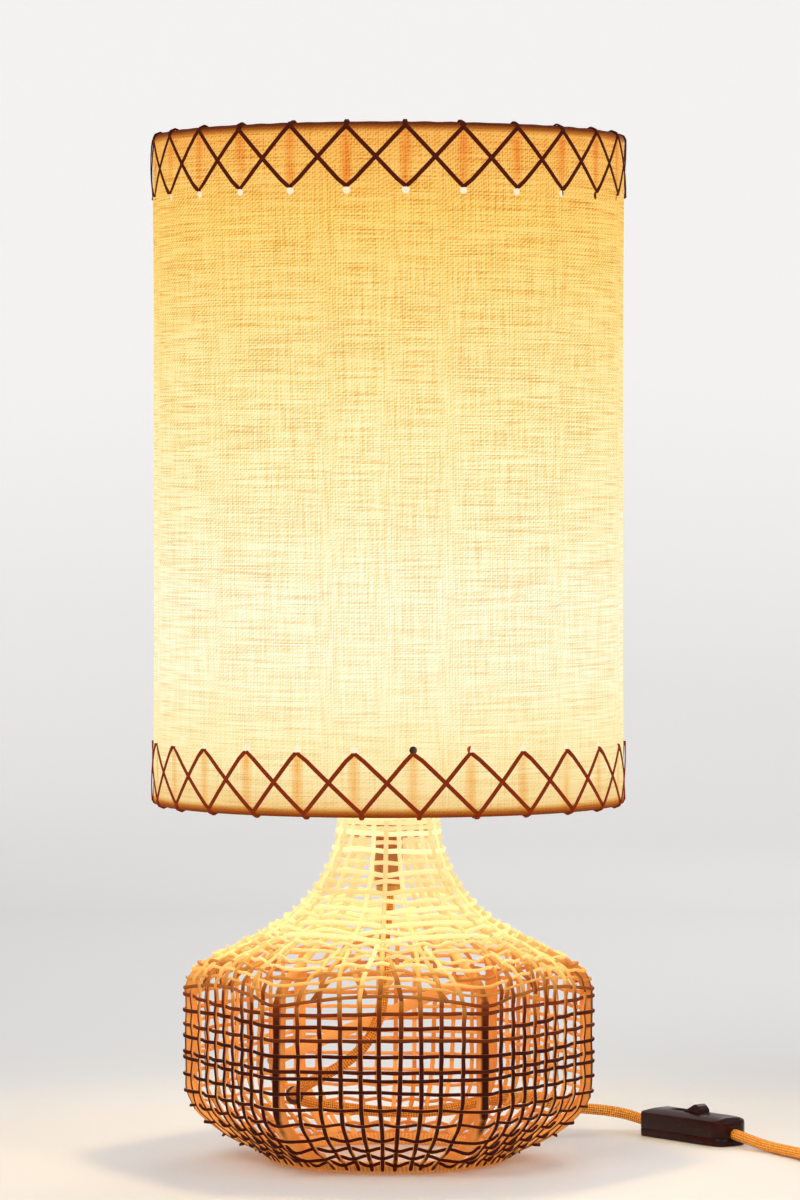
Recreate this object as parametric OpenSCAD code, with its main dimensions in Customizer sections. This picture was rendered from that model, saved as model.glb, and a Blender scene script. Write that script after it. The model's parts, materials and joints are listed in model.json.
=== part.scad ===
// Table lamp: woven rattan basket base, laced linen drum shade, E27 fitting, corded inline switch.
// Millimetres, +Z up, front towards -Y. Origin is the centre of the foot on the table.

/* [Base] */
// Widest size of the woven base over two opposite poles
base_d = 279; // [262:1:300]
// Flat side radius as a share of the pole radius
side_share = 0.905; // [0.9:0.005:0.95]
// Rounding of the six upright corners
corner_r = 22; // [20:1:30]
// Height where the upright wall starts
wall_z = 53; // [50:1:58]
// Rounding between the wall and the underside
belly_r = 36; // [32:1:40]
// Rounding between the wall and the shoulder
shoulder_r = 26; // [20:1:32]
// Slope of the shoulder in degrees
shoulder_a = 27; // [24:1:30]
// Height where the shoulder meets the neck
join_z = 156.5; // [154:0.5:162]
// Widest size of the neck at its top
neck_d = 70.3; // [68:0.1:76]
// Radius of the neck's hollow curve
flare_r = 90.3; // [84:0.1:96]
// Turn of the whole base about the vertical
base_turn = -2.5; // [-5:0.5:5]

/* [Rattan] */
// Thickness of the pole at the foot
pole_d = 8.5; // [7.5:0.1:9]
// Thickness of the pole at the neck
pole_top_d = 5.5; // [5:0.1:6.5]
// Thickness of a woven strand
reed_d = 2.6; // [2.2:0.1:3]
// Thickness of an upright stake
stake_d = 3.5; // [3:0.1:4]
// Air between strands and stakes
weave_gap = 0.3; // [0.2:0.05:0.5]
// Thickness of the foot ring
ring_d = 8; // [7:0.5:9]
// Outer size of the foot ring
foot_d = 163; // [156:1:168]
// Thickness of the cross brace
brace_d = 8; // [6:0.5:8]

/* [Stem] */
// Thickness of the wooden neck plate
plate_t = 8; // [6:0.5:10]
// Thread size of the hollow tube
nipple_d = 10; // [10:0.1:10.4]
// Bore of the hollow tube
nipple_bore = 8.4; // [8.2:0.1:8.6]
// Clearance of bored wood and nuts on the tube
tube_fit = 0.15; // [0.1:0.05:0.3]
// Outer size of the wooden sleeve
sleeve_d = 19; // [17:0.5:20]
// Length of the wooden sleeve
sleeve_l = 34; // [30:1:38]
// Lock nut width across its flats
nut_af = 14; // [13:0.5:15]
// Lock nut thickness
nut_t = 3.5; // [3:0.5:4]

/* [Lampholder] */
// Outer size of the lampholder body
holder_d = 40; // [39:0.5:42]
// Height of the lampholder cap
holder_cap_h = 24; // [22:1:26]
// Height of the lampholder body
holder_body_h = 34; // [32:1:36]
// Size of the E27 lamp cap
e27_d = 26.2; // [26:0.1:26.4]
// Running clearance of the lamp cap in the screw shell
e27_fit = 0.08; // [0.05:0.01:0.1]
// Running clearance of the shade ring and its nut on the holder
swivel_fit = 0.06; // [0.03:0.01:0.1]
// Outer size of the shade ring nut
ring_nut_d = 57; // [52:1:60]
// Bulb globe size
globe_d = 60; // [55:1:60]
// Bulb length over its cap
bulb_l = 108; // [105:1:110]

/* [Shade] */
// Outer size of the shade over its hems
shade_d = 317; // [305:1:322]
// Bottom edge of the shade above the table
shade_z = 240.5; // [238:0.5:246]
// Height of the shade
shade_h = 449; // [440:1:456]
// How far the linen draws in between its lacing rows
waist = 0.4; // [0:0.1:1]
// Linen thickness
linen_t = 0.8; // [0.6:0.1:1]
// Hem height
hem_h = 7; // [6.6:0.1:7.4]
// Wire ring thickness
wire_d = 4.6; // [4:0.1:4.8]
// Spider arm thickness
arm_d = 4; // [3.5:0.1:4.5]
// Distance of the lacing holes from each rim
hole_in = 44; // [40:1:48]
// Number of lacing holes in each row
hole_n = 26; // [24:1:28]
// Lacing hole size
hole_d = 5.6; // [5.5:0.1:6]
// Lace width
lace_w = 3.2; // [2.8:0.1:3.3]
// Lace thickness
lace_t = 1; // [0.8:0.05:1]

/* [Lead] */
// Braided lead thickness
cord_d = 7.6; // [7:0.1:7.8]
// Switch length
switch_l = 84; // [80:1:90]
// Switch width
switch_w = 28; // [27:1:30]
// Switch height
switch_h = 20; // [18:0.5:22]
// Rocker width
rocker_w = 9; // [8:0.5:10]
// Running clearance of the rocker pivots
pivot_fit = 0.05; // [0.03:0.01:0.1]
// Middle size of the coil of spare lead
coil_d = 84; // [80:1:90]
// Plug length without its pins
plug_l = 36.8; // [36:0.1:38]
// Plug width
plug_w = 35.3; // [35:0.1:36]
// Plug thickness
plug_t = 13.7; // [13.5:0.1:14.5]
// Plug pin size
pin_d = 4; // [4:0.1:4]
// Plug pin length
pin_l = 19; // [19:0.1:19]
// Plug pin spacing
pin_gap = 19; // [19:0.1:19]

/* [Hidden] */
$fn = 64;
base_r = base_d / 2;
reed_r = reed_d / 2;
stake_r = stake_d / 2;
foot_r = foot_d / 2;
foot_h = 2;
neck_end_a = 5.7;
neck_r = neck_d / 2;
join_r = neck_r + flare_r * (cos(neck_end_a) - sin(shoulder_a));
neck_z = join_z + flare_r * (cos(shoulder_a) - sin(neck_end_a));
stake_in = reed_d + weave_gap + stake_r;
pole_in = reed_d + weave_gap + pole_d / 2;
pole_top_in = reed_d + weave_gap + pole_top_d / 2;
arc_c = base_r - corner_r;
arc_q = side_share * base_r - corner_r;
arc_e = (arc_c * arc_c - arc_q * arc_q) / (2 * arc_q - sqrt(3) * arc_c);
side_rad = side_share * base_r + arc_e;
side_half = atan2(arc_c / 2, arc_c * cos(30) + arc_e);
side_polar = atan2(side_rad * sin(side_half), side_rad * cos(side_half) - arc_e);

// Radius of the six-sided wall at an angle measured from a pole
function fold(a) = let(m = a - 60 * floor(a / 60)) abs(m - 30);
function wall_r(a) = let(m = fold(a))
  m <= side_polar
    ? sqrt(side_rad * side_rad - pow(arc_e * sin(m), 2)) - arc_e * cos(m)
    : arc_c * cos(30 - m) + sqrt(corner_r * corner_r - pow(arc_c * sin(30 - m), 2));
function arc_top_r(w) = w - shoulder_r * (1 - cos(90 - shoulder_a));
function wall_top(w) = join_z - (arc_top_r(w) - join_r) * tan(shoulder_a) - shoulder_r * cos(shoulder_a);

// Side outline of the base, s = 0 foot, 1 belly, 2 wall, 3 shoulder, 4 slope, 5 neck, 6 top;
// w is the wall radius and o the distance inside the outline
function out_belly(w, o, a) = [w - belly_r + (belly_r - o) * cos(a), wall_z - (belly_r - o) * sin(a)];
function under_pt(w, o, t) = let(p0 = [foot_r, foot_h], p2 = out_belly(w, 0, 45),
    p1 = p2 - norm(p2 - p0) / 2 * [cos(45), sin(45)],
    v = unit((1 - t) * (p1 - p0) + t * (p2 - p1)))
  (1 - t) * (1 - t) * p0 + 2 * t * (1 - t) * p1 + t * t * p2 + o * [-v[1], v[0]];
function side_pt(w, o, s) =
  s <= 1 ? under_pt(w, o, s)
  : s <= 2 ? out_belly(w, o, 45 * (2 - s))
  : s <= 3 ? [w - o, wall_z + (wall_top(w) - wall_z) * (s - 2)]
  : s <= 4 ? let(a = (90 - shoulder_a) * (s - 3))
      [w - shoulder_r + (shoulder_r - o) * cos(a), wall_top(w) + (shoulder_r - o) * sin(a)]
  : s <= 5 ? let(r4 = arc_top_r(w), r = r4 + (join_r - r4) * (s - 4))
      [r - o * sin(shoulder_a), join_z + (join_r - r) * tan(shoulder_a) - o * cos(shoulder_a)]
  : let(a = 90 - shoulder_a - (90 - shoulder_a - neck_end_a) * (s - 5),
        cx = neck_r + flare_r * cos(neck_end_a), cz = neck_z + flare_r * sin(neck_end_a))
      [cx - (flare_r + o) * cos(a), cz - (flare_r + o) * sin(a)];
function polar(p, a) = [p[0] * cos(a), p[0] * sin(a), p[1]];

// Swept tubes: points p, radii r, n sides
function unit(v) = v / norm(v);
function dir_at(p, i) = unit(p[min(i + 1, len(p) - 1)] - p[max(i - 1, 0)]);
function cross_at(d, up) = abs(d * up) < 0.95 ? unit(cross(up, d)) : unit(cross([1, 0, 0], d));
function tube_pts(p, r, n, up) = [for (i = [0:len(p) - 1])
  let(d = dir_at(p, i), x = cross_at(d, up), y = cross(d, x), q = is_list(r) ? r[i] : r)
  for (k = [0:n - 1]) p[i] + q * (cos(360 * k / n + 180 / n) * x + sin(360 * k / n + 180 / n) * y)];
function tube_sides(m, n) = [for (i = [0:m - 2], k = [0:n - 1])
  let(a = i * n + k, b = i * n + (k + 1) % n)
  each [[a, a + n, b], [b, a + n, b + n]]];
function tube_ends(m, n) = [[for (k = [0:n - 1]) k], [for (k = [n - 1:-1:0]) (m - 1) * n + k]];
module tube(p, r, n, up = [0, 0, 1])
  polyhedron(tube_pts(p, r, n, up), concat(tube_sides(len(p), n), tube_ends(len(p), n)));
function loop_faces(m, n) = [for (i = [0:m - 1], k = [0:n - 1])
  let(j = (i + 1) % m, a = i * n + k, b = i * n + (k + 1) % n, c = j * n + k, d = j * n + (k + 1) % n)
  each [[a, c, b], [b, c, d]]];

// Woven parts
hoop_angles = [for (k = [0:5], a = [0, 6, 15, 30, 45, 54]) 60 * k + a];
function loop_pts(s, o, q, n) = [for (a = hoop_angles)
  let(c = polar(side_pt(wall_r(a), o, s), a), x = [cos(a), sin(a), 0])
  for (k = [0:n - 1]) c + q * (cos(360 * k / n) * x - sin(360 * k / n) * [0, 0, 1])];
module hoop(s, n = 5)
  polyhedron(loop_pts(s, reed_r, reed_r, n), loop_faces(len(hoop_angles), n));
module round_hoop(s) let(c = side_pt(base_r, reed_r, s))
  rotate_extrude() translate([c[0], c[1]]) circle(reed_r, $fn = 24);
module wall_hoop(z, n = 5) polyhedron([for (a = hoop_angles)
  let(x = [cos(a), sin(a), 0], c = (wall_r(a) - reed_r) * x + [0, 0, z])
  for (k = [0:n - 1]) c + reed_r * (cos(360 * k / n) * x - sin(360 * k / n) * [0, 0, 1])],
  loop_faces(len(hoop_angles), n));
function stake_path(a, s0, s1, m) = [for (i = [0:m])
  polar(side_pt(wall_r(a), stake_in, s0 + (s1 - s0) * i / m), a)];
module stake(a, s0, s1, m, n) tube(stake_path(a, s0, s1, m), stake_r, n, [-sin(a), cos(a), 0]);
stake_end = 0.4;
panel = [for (k = [0:5], j = [1:9]) 60 * k + 6 * j];
pole_s = [0.06, 0.3, 0.65, 1, 1.33, 1.66, 2, 2.5, 3, 3.25, 3.5, 3.75, 4, 4.5, 5, 5.2, 5.4, 5.6, 5.8, 5.99];
function pole_q(s) = (pole_d - (pole_d - pole_top_d) * max(0, s - 3) / 3) / 2;
function pole_path(a) = [for (s = pole_s)
  polar(side_pt(base_r, reed_d + weave_gap + pole_q(s), s), a)];

module frame_poles() color("#c9974f") rotate([0, 0, base_turn])
  for (k = [0:5]) tube(pole_path(60 * k), [for (s = pole_s) pole_q(s)], 8, [-sin(60 * k), cos(60 * k), 0]);
module foot_ring() color("#c9974f") rotate_extrude() intersection() {
  translate([foot_r - ring_d / 2, ring_d / 2 - 0.6]) circle(ring_d / 2, $fn = 32);
  translate([foot_r - ring_d, 0]) square([ring_d, ring_d]);
}
neck_rows = [for (i = [0:12]) 5.03 + 0.93 * i / 12];
shoulder_rows = [3.15, 3.5, 3.85, 4.2, 4.55, 4.85];
wall_rows = [for (i = [0:6]) wall_z + 4 + 9 * i];
under_rows = [0.14, 0.4, 0.64, 0.84, 1.45, 1.8];
module neck_strands() color("#d8a75c") rotate([0, 0, base_turn]) for (s = neck_rows) round_hoop(s);
module shoulder_strands() color("#d8a75c") rotate([0, 0, base_turn]) for (s = shoulder_rows) hoop(s);
module wall_strands() color("#b9803c") rotate([0, 0, base_turn]) for (z = wall_rows) wall_hoop(z);
module under_strands() color("#b9803c") rotate([0, 0, base_turn]) for (s = under_rows) hoop(s);
module neck_stakes() color("#d8a75c") rotate([0, 0, base_turn])
  for (k = [0:5], j = [15, 30, 45]) stake(60 * k + j, 5, 5.99, 7, 5);
module shoulder_stakes() color("#d8a75c") rotate([0, 0, base_turn])
  for (a = panel) stake(a, 3, 4.97, 6, 4);
module wall_stakes() color("#b9803c") rotate([0, 0, base_turn]) for (a = panel)
  let(w = wall_r(a)) rotate([0, 0, a]) translate([w - stake_in, 0, wall_z + stake_end])
    cylinder(h = wall_top(w) - wall_z - 2 * stake_end, r = stake_r, $fn = 16);
module foot_spokes() color("#b9803c") rotate([0, 0, base_turn]) for (a = panel)
  stake(a, 0.035 + 0.0025 * (base_r - wall_r(a)), 2, 6, 4);

// Brace across the drum, passing beside the lead
brace_off = 9;
brace_a = 57.5;
brace_r = base_r - stake_in - stake_r - 4.4;
brace_lo = 78;
brace_hi = 112;
brace_len = 2 * sqrt(pow(brace_r, 2) - pow(brace_off, 2));
module cross_brace() color("#d8a75c")
  rotate([0, 0, brace_a]) translate([0, brace_off, (brace_lo + brace_hi) / 2])
    rotate([0, 90 - atan2(brace_hi - brace_lo, brace_len), 0])
      cylinder(h = brace_len, r = brace_d / 2, center = true, $fn = 24);

// Stem through the neck
plate_z = neck_z - 1 - plate_t;
plate_r = neck_r - pole_top_in - pole_top_d / 2 - 0.3;
nipple_r = nipple_d / 2;
nut_hi_z = plate_z + plate_t;
holder_z = nut_hi_z + nut_t;
sleeve_z = plate_z - sleeve_l;
nut_lo_z = sleeve_z - nut_t;
nipple_lo = nut_lo_z - 2;
nipple_hi = holder_z + 10;
module bored(z, h, r, b) translate([0, 0, z]) difference() {
  cylinder(h = h, r = r);
  translate([0, 0, -1]) cylinder(h = h + 2, r = b);
}
module neck_plate() color("#a8763e") bored(plate_z, plate_t, plate_r, nipple_r + tube_fit);
module stem_sleeve() color("#c98a48") bored(sleeve_z, sleeve_l, sleeve_d / 2, nipple_r + tube_fit);
module stem_tube() color("#b5924c") bored(nipple_lo, nipple_hi - nipple_lo, nipple_r, nipple_bore / 2);
module hex_nut(z) translate([0, 0, z]) difference() {
  cylinder(h = nut_t, r = nut_af / sqrt(3), $fn = 6);
  translate([0, 0, -1]) cylinder(h = nut_t + 2, r = nipple_r + tube_fit);
}
module nut_low() color("#b5924c") hex_nut(nut_lo_z);
module nut_high() color("#b5924c") hex_nut(nut_hi_z);

// Lampholder
holder_r = holder_d / 2;
flange_r = holder_r + 2;
body_z = holder_z + holder_cap_h;
e27_r = e27_d / 2;
shell_r = e27_r + e27_fit;
shell_t = 0.5;
seat_z = body_z + 4.5;
block_h = 6.5;
bulb_z = seat_z + 3;
module holder_cap() color("#2a211c") translate([0, 0, holder_z]) rotate_extrude() polygon([
  [nipple_r + tube_fit, 0], [9, 0], [9, 4], [14, 6], [flange_r, 13], [flange_r, holder_cap_h],
  [flange_r - 2.5, holder_cap_h], [flange_r - 2.5, 14], [12.5, 8], [nipple_r + tube_fit, 8]]);
module holder_body() color("#2a211c") rotate_extrude() polygon([
  [holder_r - 3, body_z], [flange_r, body_z], [flange_r, seat_z], [holder_r, seat_z],
  [holder_r, body_z + holder_body_h], [shell_r + shell_t + 0.02, body_z + holder_body_h],
  [shell_r + shell_t + 0.02, seat_z], [holder_r - 3, seat_z]]);
module contact_block() color("#d9d2c4") translate([0, 0, seat_z - block_h])
  cylinder(h = block_h, r = holder_r - 3.1);
module screw_shell() color("#b5924c") difference() {
  translate([0, 0, seat_z]) cylinder(h = holder_body_h - 7, r = shell_r + shell_t);
  translate([0, 0, seat_z - 1]) cylinder(h = holder_body_h, r = shell_r);
}
module centre_contact() color("#b5924c") translate([0, 0, seat_z]) cylinder(h = 2.9, r = 3);
module holder_terminals() color("#b5924c") for (s = [-1, 1])
  translate([10 * s, 0, seat_z - block_h - 5]) cylinder(h = 5, r = 2.2);
module shade_ring_nut() color("#2a211c") translate([0, 0, seat_z + ring_t]) difference() {
  union() {
    cylinder(h = 2.5, r = ring_nut_d / 2);
    cylinder(h = 7, r = holder_r + 3);
  }
  translate([0, 0, -1]) cylinder(h = 9, r = holder_r + swivel_fit);
}

// Bulb
globe_r = globe_d / 2;
globe_z = bulb_z + bulb_l - globe_r;
cap_top = bulb_z + 27;
module bulb_contact() color("#b5924c") translate([0, 0, bulb_z]) cylinder(h = 1.5, r = 4.8);
module bulb_insulator() color("#191817") translate([0, 0, bulb_z + 1.5])
  cylinder(h = 3.5, r1 = 6, r2 = 11);
module bulb_cap() color("#c4c4c2") translate([0, 0, bulb_z + 5]) cylinder(h = 22, r = e27_r);
function bulb_neck(r, g) = let(h = globe_z - cap_top, l = norm([r, h]),
    a = asin(g / l) - atan2(r, h), t = sqrt(l * l - g * g))
  [[0, cap_top], [r, cap_top], [r + t * sin(a), cap_top + t * cos(a)], [0, globe_z]];
module bulb_half(r, g) {
  intersection() {
    translate([0, globe_z]) circle(g, $fn = 96);
    translate([0, globe_z - g]) square([g, 2 * g]);
  }
  polygon(bulb_neck(r, g));
}
module bulb_glass() color("#f6f0dc") rotate_extrude() difference() {
  bulb_half(e27_r + 0.6, globe_r);
  bulb_half(e27_r - 0.3, globe_r - 0.9);
}
module bulb_stem() color("#f6f0dc") translate([0, 0, cap_top]) cylinder(h = 34, r1 = 6, r2 = 3);
module bulb_filament() color("#f9e2a0") translate([0, 0, cap_top + 34.6])
  rotate_extrude() translate([2.2, 0]) circle(0.6, $fn = 16);

// Shade
ring_t = 2;
shade_r = shade_d / 2;
hem_r = hem_h / 2;
wire_r = wire_d / 2;
hem_c = shade_r - hem_r;
hem_lo = shade_z + hem_r;
hem_hi = shade_z + shade_h - hem_r;
linen_r = shade_r - 0.2;
linen_lo = shade_z + hem_h - 0.7;
linen_hi = shade_z + shade_h - hem_h + 0.7;
hole_lo = shade_z + hole_in;
hole_hi = shade_z + shade_h - hole_in;
pitch = 360 / hole_n;
top_turn = -86;
low_turn = -83.5;
low_lean = 3.2;
module linen_holes(z, turn) for (k = [0:hole_n - 1]) rotate([0, 0, turn + k * pitch])
  translate([shade_r - 10, 0, z]) rotate([0, 90, 0]) cylinder(h = 20, r = hole_d / 2, $fn = 24);
module shade_linen() color("#e9cf9c") difference() {
  rotate_extrude($fn = 128) polygon([
    [linen_r - linen_t, linen_lo], [linen_r, linen_lo], [linen_r, hole_lo + 8],
    [linen_r - waist, hole_lo + 60], [linen_r - waist, hole_hi - 60], [linen_r, hole_hi - 8],
    [linen_r, linen_hi], [linen_r - linen_t, linen_hi], [linen_r - linen_t, hole_hi - 8],
    [linen_r - waist - linen_t, hole_hi - 60], [linen_r - waist - linen_t, hole_lo + 60],
    [linen_r - linen_t, hole_lo + 8]]);
  linen_holes(hole_lo, low_turn);
  linen_holes(hole_hi, top_turn);
}
module hem(z) rotate_extrude($fn = 128) translate([hem_c, z]) difference() {
  circle(hem_r, $fn = 32);
  circle(wire_r + 0.4, $fn = 32);
  translate([-hem_r - 1, -wire_r - 0.3]) square([hem_r - 0.2, wire_d + 0.6]);
}
module hem_top() color("#b9702c") hem(hem_hi);
module hem_bottom() color("#b9702c") hem(hem_lo);
module ring_wire(z) rotate_extrude($fn = 128) translate([hem_c, z]) circle(wire_r, $fn = 24);
module wire_top() color("#b8b2a4") ring_wire(hem_hi);
module wire_bottom() color("#b8b2a4") ring_wire(hem_lo);
arm_turn = 32.8;
arm_in = holder_r + 6;
arm_out = hem_c - wire_r - 0.05;
arm_hi = seat_z - 0.2;
arm_fall = atan2(arm_hi - hem_lo, arm_out - arm_in);
module spider_arms() color("#b8b2a4") {
  translate([0, 0, seat_z]) difference() {
    cylinder(h = ring_t, r = arm_in + 3);
    translate([0, 0, -1]) cylinder(h = ring_t + 2, r = holder_r + swivel_fit);
  }
  for (k = [0:2]) rotate([0, 0, arm_turn + 120 * k]) translate([arm_in, 0, arm_hi]) rotate([0, 90 + arm_fall, 0])
    cylinder(h = (arm_out - arm_in) / cos(arm_fall), r = arm_d / 2, $fn = 24);
}

// Lace: one flat strip round one rim, up the outside on the slant and straight down inside
lace_off = [0.45 + lace_t / 2, 0.8 + lace_t * 1.5];
function lace_at(a, r, z, w, t) = let(c = [cos(a), sin(a), 0], g = [-sin(a), cos(a), 0], u = [0, 0, 1],
    p = r * c + z * u, v = lace_w / 2 * (w[0] * g + w[1] * u), h = lace_t / 2 * (t[0] * c + t[1] * u))
  [p + v + h, p - v + h, p - v - h, p + v - h];
function lace_step(k, o, dz, lean) = let(a = k * pitch, b = pitch + lean,
    rim = hem_hi + hem_r, ro = shade_r + o, zi = hole_hi + dz,
    n = norm([shade_r * b * PI / 180, rim - zi]),
    w = [(rim - zi) / n, -shade_r * b * PI / 180 / n], ri = shade_r - hem_h - o)
  concat(
    lace_at(a, ro - 0.1, zi, [1, 0], [-1, 1]),
    lace_at(a + b / 3, ro, zi + (rim - zi) / 3, w, [-1, 0]),
    lace_at(a + 2 * b / 3, ro, zi + 2 * (rim - zi) / 3, w, [-1, 0]),
    lace_at(a + b, ro, rim + o, [1, 0], [-1, -1]),
    lace_at(a + b, ri, rim + o, [1, 0], [1, -1]),
    lace_at(a + b - lean / 8, ri, rim - hem_h, [1, 0], [1, 0]),
    lace_at(a + pitch, linen_r - linen_t - o, zi, [1, 0], [1, 1]));
module lace(o, dz, lean) {
  p = [for (k = [0:hole_n - 1]) each lace_step(k, o, dz, lean)];
  polyhedron(p, loop_faces(7 * hole_n, 4));
}
module top_lace(side) rotate([0, 0, top_turn]) {
  if (side == 0) lace(lace_off[0], 0.8, 0);
  if (side == 1) mirror([0, 1, 0]) lace(lace_off[1], -0.8, 0);
}
module low_lace(side) rotate([0, 0, low_turn]) translate([0, 0, hem_lo + hem_hi]) mirror([0, 0, 1]) {
  if (side == 0) lace(lace_off[0], 0.8, low_lean);
  if (side == 1) mirror([0, 1, 0]) lace(lace_off[1], -0.8, -low_lean);
}
module lace_top_a() color("#7a3f1a") top_lace(0);
module lace_top_b() color("#7a3f1a") top_lace(1);
module lace_low_a() color("#7a3f1a") low_lace(0);
module lace_low_b() color("#7a3f1a") low_lace(1);

// Inline switch, laid out along X with its left end at -X, then turned on the table
switch_at = [212.3, 96.1, 0];
switch_turn = -52;
seam_z = 5.8;
side_z = 16.5;
wall_t = 2;
side_t = 2.5;
cord_r = cord_d / 2;
cord_z = 8;
pivot_z = 11;
pivot_r = 1.5;
rocker_l = 25;
lead_corner = 2.5;
free_corner = 7;
// Plan with one pair of tight corners and one pair of round ones, drawn in by d
function plan(d) = let(l = switch_l / 2 - d, w = switch_w / 2 - d)
  [for (k = [0:3], t = [0:15:90]) let(a = 90 * k + t,
      r = max((k == 0 || k == 3 ? free_corner : lead_corner) - d, 0.5),
      x = (k == 0 || k == 3 ? 1 : -1) * (l - r), y = (k < 2 ? 1 : -1) * (w - r))
    [x + r * cos(a), y + r * sin(a)]];
module placed() translate(switch_at) rotate([0, 0, switch_turn]) children();
module cord_bore() translate([-switch_l, 0, cord_z]) rotate([0, 90, 0])
  cylinder(h = 2 * switch_l, r = cord_r + 0.3, $fn = 32);
module crown(z, r) translate([-switch_l, 0, z - r]) rotate([0, 90, 0]) cylinder(h = 2 * switch_l, r = r);
crown_r = (pow(switch_w / 2, 2) + pow(switch_h - side_z, 2)) / (2 * (switch_h - side_z));
module switch_cover() color("#3a1712") placed() difference() {
  linear_extrude(seam_z) polygon(plan(0));
  translate([0, 0, wall_t]) linear_extrude(seam_z) polygon(plan(side_t));
  cord_bore();
}
module switch_case() color("#3a1712") placed() difference() {
  intersection() {
    translate([0, 0, seam_z]) linear_extrude(switch_h) polygon(plan(0));
    crown(switch_h, crown_r);
  }
  translate([0, 0, seam_z - 1]) linear_extrude(side_z - seam_z - wall_t + 1) polygon(plan(side_t));
  translate([0, 0, side_z]) cube([rocker_l + 3.4, rocker_w + 0.8, 20], center = true);
  cord_bore();
}
module switch_yoke() color("#c9b27a") placed() for (s = [-1, 1])
  translate([-5, s * (rocker_w / 2 + 2.2) - 1.5, wall_t]) difference() {
    cube([10, 3, side_z - 2 * wall_t]);
    translate([5, -1, pivot_z - wall_t]) rotate([-90, 0, 0])
      cylinder(h = 5, r = pivot_r + pivot_fit, $fn = 32);
  }
module switch_rocker() color("#3a1712") placed() translate([0, 0, pivot_z]) rotate([0, -8, 0]) {
  translate([0, rocker_w / 2, 0]) rotate([90, 0, 0]) linear_extrude(rocker_w) difference() {
    polygon([[-rocker_l / 2, 6.4], [-rocker_l / 2, 9.5], [-4, 10.5], [8, 14.8], [rocker_l / 2, 10],
      [rocker_l / 2, 6.4], [6, -3], [-6, -3]]);
    translate([-6, 28]) circle(17.6, $fn = 64);
  }
  translate([0, -rocker_w / 2 - 3, 0]) rotate([-90, 0, 0])
    cylinder(h = rocker_w + 6, r = pivot_r, $fn = 32);
}
module switch_terminals() color("#b5924c") placed() for (s = [-1, 1])
  translate([19 * s - 3, -4, wall_t]) cube([6, 8, 9]);
module switch_spring() color("#b5924c") placed() translate([-12, -3, wall_t]) cube([24, 6, 0.8]);
module switch_clamps() color("#c9b27a") placed() for (s = [-1, 1])
  translate([(switch_in + 2) * s - 2, -6, wall_t]) difference() {
    cube([4, 12, 12]);
    translate([-1, 6, cord_z - wall_t]) rotate([0, 90, 0]) cylinder(h = 6, r = cord_r + 0.3, $fn = 32);
  }
module switch_screws() color("#b8b2a4") placed() for (s = [-1, 1])
  translate([s * 14, s * 8.2, wall_t]) cylinder(h = side_z - 2 * wall_t, r = 1.5, $fn = 24);

// Coil of spare lead, its ties and the plug
coil_at = [340, -45];
coil_cols = 3;
coil_rows = 2;
coil_w = coil_cols * cord_d;
coil_h = coil_rows * cord_d;
coil_z = 1.4;
coil_cut = 2.2;
module lead_coil() color("#a5632c") translate([coil_at[0], coil_at[1], coil_z]) rotate_extrude($fn = 96)
  polygon([for (p = [[0, coil_cut], [coil_cut, 0], [coil_w - coil_cut, 0], [coil_w, coil_cut],
    [coil_w, coil_h - coil_cut], [coil_w - coil_cut, coil_h], [coil_cut, coil_h], [0, coil_h - coil_cut]])
    [coil_d / 2 - coil_w / 2 + p[0], p[1]]]);
module coil_ties() color("#5a4a35") for (a = [100, 250])
  translate([coil_at[0], coil_at[1], 0]) rotate([0, 0, a]) translate([coil_d / 2, 0, 0]) difference() {
    translate([-coil_w / 2 - 1.5, -4, 0]) cube([coil_w + 3, 8, coil_h + 2.8]);
    translate([-coil_w / 2 - 0.5, -5, 1]) cube([coil_w + 1, 10, coil_h + 0.8]);
  }
plug_at = [375, 14.6];
plug_turn = 110;
plug_half = plug_t / 2;
module plug_placed() translate([plug_at[0], plug_at[1], 0]) rotate([0, 0, plug_turn]) children();
module plug_plan() polygon([[0, -7], [8, -plug_w / 2], [plug_l - 10, -plug_w / 2], [plug_l, -14.5],
  [plug_l, 14.5], [plug_l - 10, plug_w / 2], [8, plug_w / 2], [0, 7]]);
shank_l = 8;
shank_r = 1.5;
pin_off = 0.1;
module plug_holes() {
  for (s = [-1, 1]) translate([plug_l - shank_l, s * pin_gap / 2, plug_half]) rotate([0, 90, 0])
    cylinder(h = 20, r = shank_r, $fn = 32);
  translate([-1, 0, plug_half]) rotate([0, 90, 0]) cylinder(h = 10, r = cord_r + 0.3, $fn = 32);
  translate([13, 0, 1]) cylinder(h = plug_t, r = 1.6, $fn = 24);
}
module plug_shell_low() color("#3a1712") plug_placed() difference() {
  linear_extrude(plug_half) plug_plan();
  plug_holes();
}
module plug_shell_high() color("#3a1712") plug_placed() difference() {
  translate([0, 0, plug_half]) linear_extrude(plug_half) plug_plan();
  plug_holes();
}
module plug_pins() color("#c4c4c2") plug_placed() for (s = [-1, 1])
  translate([plug_l, s * pin_gap / 2, plug_half]) rotate([0, 90, 0]) {
    translate([0, 0, -shank_l]) cylinder(h = shank_l + pin_off, r = shank_r, $fn = 32);
    translate([0, 0, pin_off]) cylinder(h = pin_l, r = pin_d / 2, $fn = 32);
  }
module plug_screw() color("#b8b2a4") plug_placed() translate([13, 0, 1])
  cylinder(h = plug_t - 1.4, r = 1.5, $fn = 24);

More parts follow.
